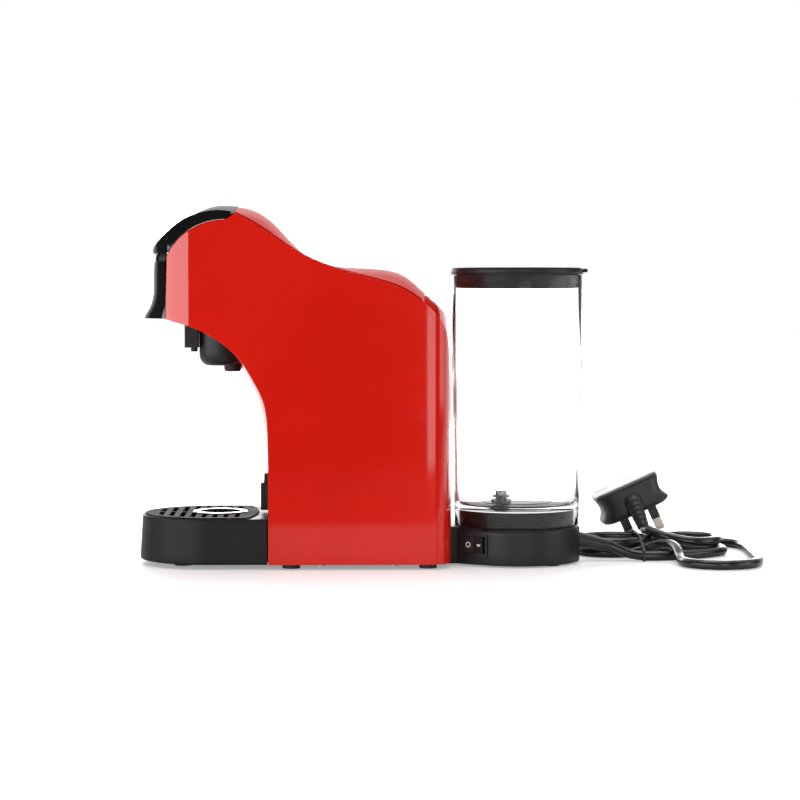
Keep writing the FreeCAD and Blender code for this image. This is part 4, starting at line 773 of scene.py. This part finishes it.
def make_pins():
    """Metal pins, and the moulded sleeves round the roots of the two flat ones."""
    def box(name, x, y, z):
        points = [(a, b, c) for a in x for b in y for c in z]
        faces = [(0, 1, 3, 2), (4, 6, 7, 5), (0, 4, 5, 1), (2, 3, 7, 6), (0, 2, 6, 4), (1, 5, 7, 3)]
        return bevel(solid(name, in_plug(points), faces, "machine", "plug_pins"), 0.35)

    metal, sleeves = [box("earth_pin", (-2, 2), (6.1, 14.1), (-46.7, -23.5))], []
    for side, x in (("left", -11.1), ("right", 11.1)):
        metal.append(box("pin_" + side, (x - 3.15, x + 3.15), (-16, -12), (-41.7, -23.5)))
        sleeves.append(box("sleeve_" + side, (x - 3.25, x + 3.25), (-16.1, -11.9), (-33.0, -23.5)))
    return metal, sleeves


def declare_cord():
    """Works out the first point of the cord's route in metres and keeps nothing."""
    [value * MM for value in cord_route()[0]]


# ---- shader maths
def maths(kind, swapped=False):
    """Method that adds one Math node."""
    def act(self, other=0.0):
        first, second = (other, self) if swapped else (self, other)
        return self.graph.node("ShaderNodeMath", {"operation": kind}, {0: first, 1: second})
    return act


class Signal:
    """One output of a node; sums, products and powers of it add Math nodes."""

    def __init__(self, graph, socket):
        self.graph, self.socket = graph, socket

    __add__ = __radd__ = maths("ADD")
    __sub__ = maths("SUBTRACT")
    __rsub__ = maths("SUBTRACT", swapped=True)
    __mul__ = __rmul__ = maths("MULTIPLY")
    __pow__ = maths("POWER")
    size = maths("ABSOLUTE")
    sine = maths("SINE")
    larger = maths("MAXIMUM")

    def step(self, low, high):
        """Smooth rise from 0 at low to 1 at high."""
        return self.graph.node("ShaderNodeMapRange", {"interpolation_type": "SMOOTHSTEP"},
                               {"Value": self, "From Min": low, "From Max": high})

    def toward(self, other, share):
        """This value moved to the other by a share from 0 to 1."""
        return self + (other - self) * share


class Graph:
    """The nodes of a material or of the world."""

    def __init__(self, tree):
        self.tree = tree

    def feed(self, socket, value):
        if isinstance(value, Signal):
            self.tree.links.new(value.socket, socket)
        else:
            socket.default_value = value

    def node(self, kind, settings, inputs, output=0):
        """Any node: its settings, its sockets' values or links, and the output wanted."""
        made = self.tree.nodes.new(kind)
        for name, value in settings.items():
            setattr(made, name, value)
        for name, value in inputs.items():
            self.feed(made.inputs[name], value)
        return Signal(self, made.outputs[output])

    def place(self, stretch=(1, 1, 1)):
        """Object coordinates, stretched."""
        where = self.node("ShaderNodeTexCoord", {}, {}, "Object")
        return self.node("ShaderNodeMapping", {}, {"Vector": where, "Scale": stretch})

    def part(self, vector):
        """The three numbers of a vector."""
        split = self.node("ShaderNodeSeparateXYZ", {}, {"Vector": vector})
        return [Signal(self, output) for output in split.socket.node.outputs]

    def noise(self, scale, detail=2.0, stretch=(1, 1, 1)):
        return self.node("ShaderNodeTexNoise", {},
                         {"Vector": self.place(stretch), "Scale": scale, "Detail": detail})

    def cells(self, scale):
        return self.node("ShaderNodeTexVoronoi", {}, {"Vector": self.place(), "Scale": scale})

    def blend(self, factor, first, second):
        """Colour between two colours."""
        first, second = [(*c, 1) if isinstance(c, tuple) and len(c) == 3 else c for c in (first, second)]
        return self.node("ShaderNodeMix", {"data_type": "RGBA"}, {0: factor, 6: first, 7: second}, 2)

    def ray(self, kind):
        """1 on rays of one kind, such as Camera, and 0 on others."""
        return self.node("ShaderNodeLightPath", {}, {}, f"Is {kind} Ray")


class Finish(Graph):
    """A material on one Principled shader: even values are set on it, what varies is linked into it."""

    def __init__(self, name, slot, colour, **even):
        self.slot = slot
        self.material = bpy.data.materials.new(name)
        self.material.use_nodes = True
        super().__init__(self.material.node_tree)
        self.shader = self.tree.nodes["Principled BSDF"]
        self.drive(Base_Color=(*colour, 1), **even)

    def drive(self, **values):
        """Sets or links sockets of the shader, named with _ for a space."""
        for name, value in values.items():
            self.feed(self.shader.inputs[name.replace("_", " ")], value)
        return self

    def relief(self, height, depth):
        """Bump of depth millimetres from a height between 0 and 1."""
        return self.drive(Normal=self.node("ShaderNodeBump", {}, {"Height": height, "Distance": depth * MM}))


def paint(finish, *pieces):
    """Gives pieces one finish."""
    for piece in pieces:
        piece.data.materials.clear()
        piece.data.materials.append(finish.material)


# ---- finishes
def lacquer(name, slot, deep, light, roughness, peel=0.006):
    """Moulded gloss plastic: slow shifts of colour, faint orange peel and fine rubbed patches."""
    finish = Finish(name, slot, deep, IOR=1.48)
    slow = finish.noise(9, 3).step(0.35, 0.65)
    rubbed = finish.noise(60, 6, stretch=(1, 1, 3)).step(0.45, 0.75)
    finish.drive(Base_Color=finish.blend(slow, deep, light), Roughness=rubbed * 0.035 + roughness)
    return finish.relief(finish.noise(260, 1), peel)


def grained(name, slot, colour, roughness, grain=1500, depth=0.03, shine=0.4):
    """Spark-eroded plastic: a fine even grain, a little polished in patches."""
    finish = Finish(name, slot, colour, Specular_IOR_Level=shine)
    patches = finish.noise(25, 4).step(0.3, 0.7)
    lighter = tuple(1.25 * value + 0.001 for value in colour)
    finish.drive(Base_Color=finish.blend(patches, colour, lighter), Roughness=roughness + 0.09 * patches)
    return finish.relief(finish.noise(grain, 2), depth)


def clear_plastic():
    """Water-clear styrene with the faint waves of its mould."""
    finish = Finish("clear_plastic", "clear_plastic", (1, 1, 1), Transmission_Weight=1.0, IOR=1.2)
    finish.drive(Roughness=0.012 * finish.noise(90, 3).step(0.4, 0.8))
    return finish.relief(finish.noise(22, 1, stretch=(1, 1, 0.3)), 0.012)


def smoked_plastic():
    """Cloudy grey polypropylene."""
    finish = Finish("smoked_plastic", "smoked_plastic", (0.42, 0.43, 0.44), Transmission_Weight=0.6, IOR=1.45)
    cloud = finish.noise(160, 3)
    finish.drive(Base_Color=finish.blend(cloud, (0.30, 0.31, 0.32), (0.5, 0.51, 0.52)),
                 Roughness=0.2 + 0.15 * cloud)
    return finish


def polished(name, slot, colour, roughness):
    """Plated metal with hairline wiping marks."""
    finish = Finish(name, slot, colour, Metallic=1.0)
    wiped = finish.noise(120, 5, stretch=(1, 1, 12)).step(0.4, 0.75)
    finish.drive(Roughness=roughness + 0.08 * wiped)
    return finish.relief(finish.noise(500, 2, stretch=(1, 1, 8)), 0.002)


def brushed(name, slot, colour, roughness):
    """Drawn or rolled metal with a grain along X and dull patches."""
    finish = Finish(name, slot, colour, Metallic=1.0)
    grain = finish.noise(900, 3, stretch=(0.04, 1, 1))
    dull = finish.noise(45, 4).step(0.4, 0.7)
    darker = tuple(0.72 * value for value in colour)
    finish.drive(Base_Color=finish.blend(dull, colour, darker),
                 Roughness=roughness + 0.12 * grain + 0.08 * dull)
    return finish.relief(grain, 0.01)


def cast_metal():
    """Die-cast aluminium with an open, pebbled skin."""
    finish = Finish("aluminium", "aluminium", (0.6, 0.61, 0.62), Metallic=1.0)
    pebbles = finish.cells(700)
    finish.drive(Roughness=0.42 + 0.2 * finish.noise(80, 4))
    return finish.relief(pebbles, 0.05)


def elastic(name, slot, colour, lighter, roughness, depth=0.02):
    """Rubber, PVC or silicone: soft bloom over a close matt skin."""
    finish = Finish(name, slot, colour, IOR=1.5)
    bloom = finish.noise(55, 5).step(0.42, 0.8)
    finish.drive(Base_Color=finish.blend(bloom, colour, lighter), Roughness=roughness + 0.1 * bloom)
    return finish.relief(finish.noise(1100, 2), depth)


def board_green():
    """Circuit board: solder mask with copper runs showing through as raised lighter lanes."""
    finish = Finish("board_green", "board_green", (0.012, 0.09, 0.03))
    x, _, z = finish.part(finish.place())
    lanes = ((x * 900).sine() * (z * 620).sine()).size().step(0.55, 0.65)
    finish.drive(Base_Color=finish.blend(lanes, (0.010, 0.075, 0.025), (0.03, 0.17, 0.06)),
                 Roughness=0.3 + 0.12 * lanes)
    return finish.relief(lanes, 0.04)


def rocker_black():
    """Satin black with a white ring and bar printed on it, placed along the switch's slanted face."""
    finish = grained("rocker_black", "black_satin", (0.014, 0.014, 0.015), 0.3, 1800, 0.01)
    x, y, z = finish.part(finish.place())
    u = (x - FACET_MIDDLE[0] * MM) * FACET_ALONG[0] + (y - FACET_MIDDLE[1] * MM) * FACET_ALONG[1]
    v = z - SWITCH_Z * MM
    ring_u, bar_u, ring_radius, flattened = -4.6 * MM, 4.4 * MM, 1.6 * MM, 0.42
    away = ((u - ring_u) ** 2 + v ** 2) ** 0.5
    ring = 1 - (away - ring_radius).size().step(0.26 * MM, 0.34 * MM)
    bar = 1 - ((u - bar_u).size() * flattened).larger(v.size()).step(0.60 * MM, 0.68 * MM)
    mark = ring.larger(bar)
    finish.drive(Base_Color=finish.blend(mark, (0.014, 0.014, 0.015), (0.8, 0.8, 0.78)))
    return finish


red = lacquer("red_gloss", "red_gloss", (0.52, 0.0075, 0.0028), (0.57, 0.0095, 0.0036), 0.06)
black = lacquer("black_gloss", "black_gloss", (0.0045, 0.0045, 0.0047), (0.0065, 0.0065, 0.0068), 0.05)
black_smooth = lacquer("black_smooth", "black_gloss", (0.006, 0.006, 0.0062), (0.008, 0.008, 0.0083),
                       0.5, 0.0)
satin = grained("black_satin", "black_satin", (0.009, 0.009, 0.0094), 0.36, depth=0.015, shine=0.32)
base_black = grained("base_black", "black_satin", (0.0085, 0.0085, 0.0089), 0.34, depth=0.0, shine=0.32)
tray_black = grained("tray_black", "black_satin", (0.006, 0.006, 0.0063), 0.42, shine=0.2)
grid_black = grained("grid_black", "black_satin", (0.008, 0.008, 0.0085), 0.6, 1200, shine=0.03)
grey = grained("grey_plastic", "grey_plastic", (0.16, 0.16, 0.165), 0.42)
dark_grey = grained("dark_grey", "grey_plastic", (0.022, 0.022, 0.023), 0.45, shine=0.15)
clear = clear_plastic()
smoked = smoked_plastic()
chrome = polished("chrome", "chrome", (0.78, 0.79, 0.8), 0.06)
steel = brushed("steel", "steel", (0.56, 0.57, 0.58), 0.28)
aluminium = cast_metal()
nickel = brushed("plated_brass", "brass", (0.72, 0.66, 0.55), 0.2)
rubber = elastic("rubber", "rubber", (0.012, 0.012, 0.012), (0.03, 0.03, 0.03), 0.55)
cord_black = elastic("cord_black", "rubber", (0.008, 0.008, 0.0085), (0.014, 0.014, 0.014), 0.24, 0.004)
plug_black = elastic("plug_black", "rubber", (0.013, 0.013, 0.014), (0.024, 0.024, 0.025), 0.4)
plug_grey = elastic("plug_grey", "rubber", (0.05, 0.05, 0.052), (0.07, 0.07, 0.072), 0.42)
silicone = elastic("silicone", "silicone", (0.55, 0.55, 0.53), (0.68, 0.68, 0.66), 0.38)
green = board_green()
rocker = rocker_black()

INSIDE = {
    satin: ["head_front_plate", "lid_frame", "lid_lugs", "chassis_plate", "chassis_frame"],
    grey: ["brew_plunger", "brew_chamber", "pump", "flow_meter", "valve_poppet"],
    steel: ["lid_hinge_pin", "piercing_needle", "boiler_bracket", "thermostat", "shell_screws"],
    chrome: ["handle_pin"],
    aluminium: ["boiler"],
    silicone: ["plunger_seal", "water_hoses"],
    rubber: ["dock_seal", "feet", "pump_mounts", "cord_tie"],
    green: ["control_board"],
}
for finish, nodes in INSIDE.items():
    paint(finish, *[frame["nodes"][node] for node in nodes])

# ---- pieces and their finishes
cord = make_cord()
paint(cord_black, cord)
paint(red, *make_side_panels(), make_spine(), make_rear(), make_front())
paint(black, make_lid(), make_handle(), *make_lugs())
paint(chrome, *make_trims())
paint(tray_black, make_tray())
paint(base_black, make_tank_base())
paint(clear, make_tank())
paint(satin, *make_tank_lid())
rounds = make_round_parts()
paint(black_smooth, rounds["tank_seat"])
paint(satin, rounds["outlet_bowl"], rounds["spout"])
paint(chrome, rounds["grid_ring"])
paint(smoked, rounds["valve_body"], rounds["valve_filter"])
paint(grid_black, dressed("tray_grid", 0.3))
paint(dark_grey, dressed("outlet_bracket", 0.4))
paint(satin, dressed("switch_housing", 0.3), dressed("tray_post", 0.4))
paint(rocker, dressed("power_rocker", 0.5))
paint(chrome, dressed("button_housing", 0.3))
paint(red, dressed("button_short", 0.4), dressed("button_long", 0.4))
plug_body, plug_cover = make_plug()
pins, sleeves = make_pins()
relief = make_relief()
gland = dressed("cord_gland", 0.4)
paint(plug_black, plug_body, relief, gland, *sleeves)
paint(plug_grey, plug_cover)
paint(nickel, *pins)
declare_cord()

# ---- stage
def softbox(name, place, size, power):
    """Rectangular lamp turned to the machine's middle."""
    lamp = bpy.data.lights.new(name, "AREA")
    lamp.shape = "RECTANGLE"
    lamp.size, lamp.size_y = size
    lamp.energy = power
    holder = linked(name, lamp)
    aimed(holder, place, (0, 0, 0.12))
    holder.visible_camera = holder.visible_transmission = False


def make_floor():
    """White table top, brighter to the eye than it is lit and mirrored only near the machine."""
    corners = [(-4000, -900, 0), (4000, -900, 0), (4000, 5000, 0), (-4000, 5000, 0)]
    floor = linked("floor", meshed("floor", corners, [(0, 1, 2, 3)]))
    finish = Finish("floor", None, (0.82, 0.82, 0.82), Roughness=0.6, Emission_Strength=1.0)
    x, y, _ = finish.part(finish.place())
    dark = finish.ray("Glossy") * (1 - y.step(-0.36, -0.34))
    away = ((x - 0.05) ** 2 + y ** 2).step(0.03, 0.4)
    seen = finish.ray("Camera").larger(finish.ray("Transmission"))
    glow = finish.blend(away, (0.3, 0.3, 0.3), (1.0, 1.0, 1.0))
    finish.drive(Base_Color=finish.blend(dark, (0.82, 0.82, 0.82), (0.05, 0.05, 0.05)),
                 Emission_Color=finish.blend(seen, (0, 0, 0), glow))
    paint(finish, floor)


def make_world():
    """Even pale light: white to the eye and through the tank, mirrored white from behind and above."""
    world = bpy.data.worlds.new("world")
    bpy.context.scene.world = world
    world.use_nodes = True
    graph = Graph(world.node_tree)
    _, y, z = graph.part(graph.node("ShaderNodeTexCoord", {}, {}, "Generated"))
    white = y.step(0.6, 0.9).larger(z.step(0.35, 0.7) * y.step(-0.4, 0.1))
    strength = (0.06 + 0.94 * white - 0.36) * graph.ray("Glossy") + 0.36
    strength = strength.toward(1.0, graph.ray("Camera").larger(graph.ray("Transmission")))
    sky = graph.tree.nodes["Background"]
    sky.inputs["Color"].default_value = (1, 1, 1, 1)
    graph.feed(sky.inputs["Strength"], strength)


make_floor()
make_world()
softbox("over", (0.0, 0.05, 1.3), (1.1, 0.9), 9)
softbox("left", (-1.17, -0.94, 0.2), (2.2, 0.4), 15)
softbox("near_right", (0.37, -1.5, 0.35), (0.54, 0.9), 5)
softbox("far_right", (1.31, -0.48, 0.33), (0.96, 0.6), 4.5)
softbox("back", (0.0, 1.5, 0.45), (1.8, 0.7), 20)
bpy.context.scene.view_settings.view_transform = "Standard"
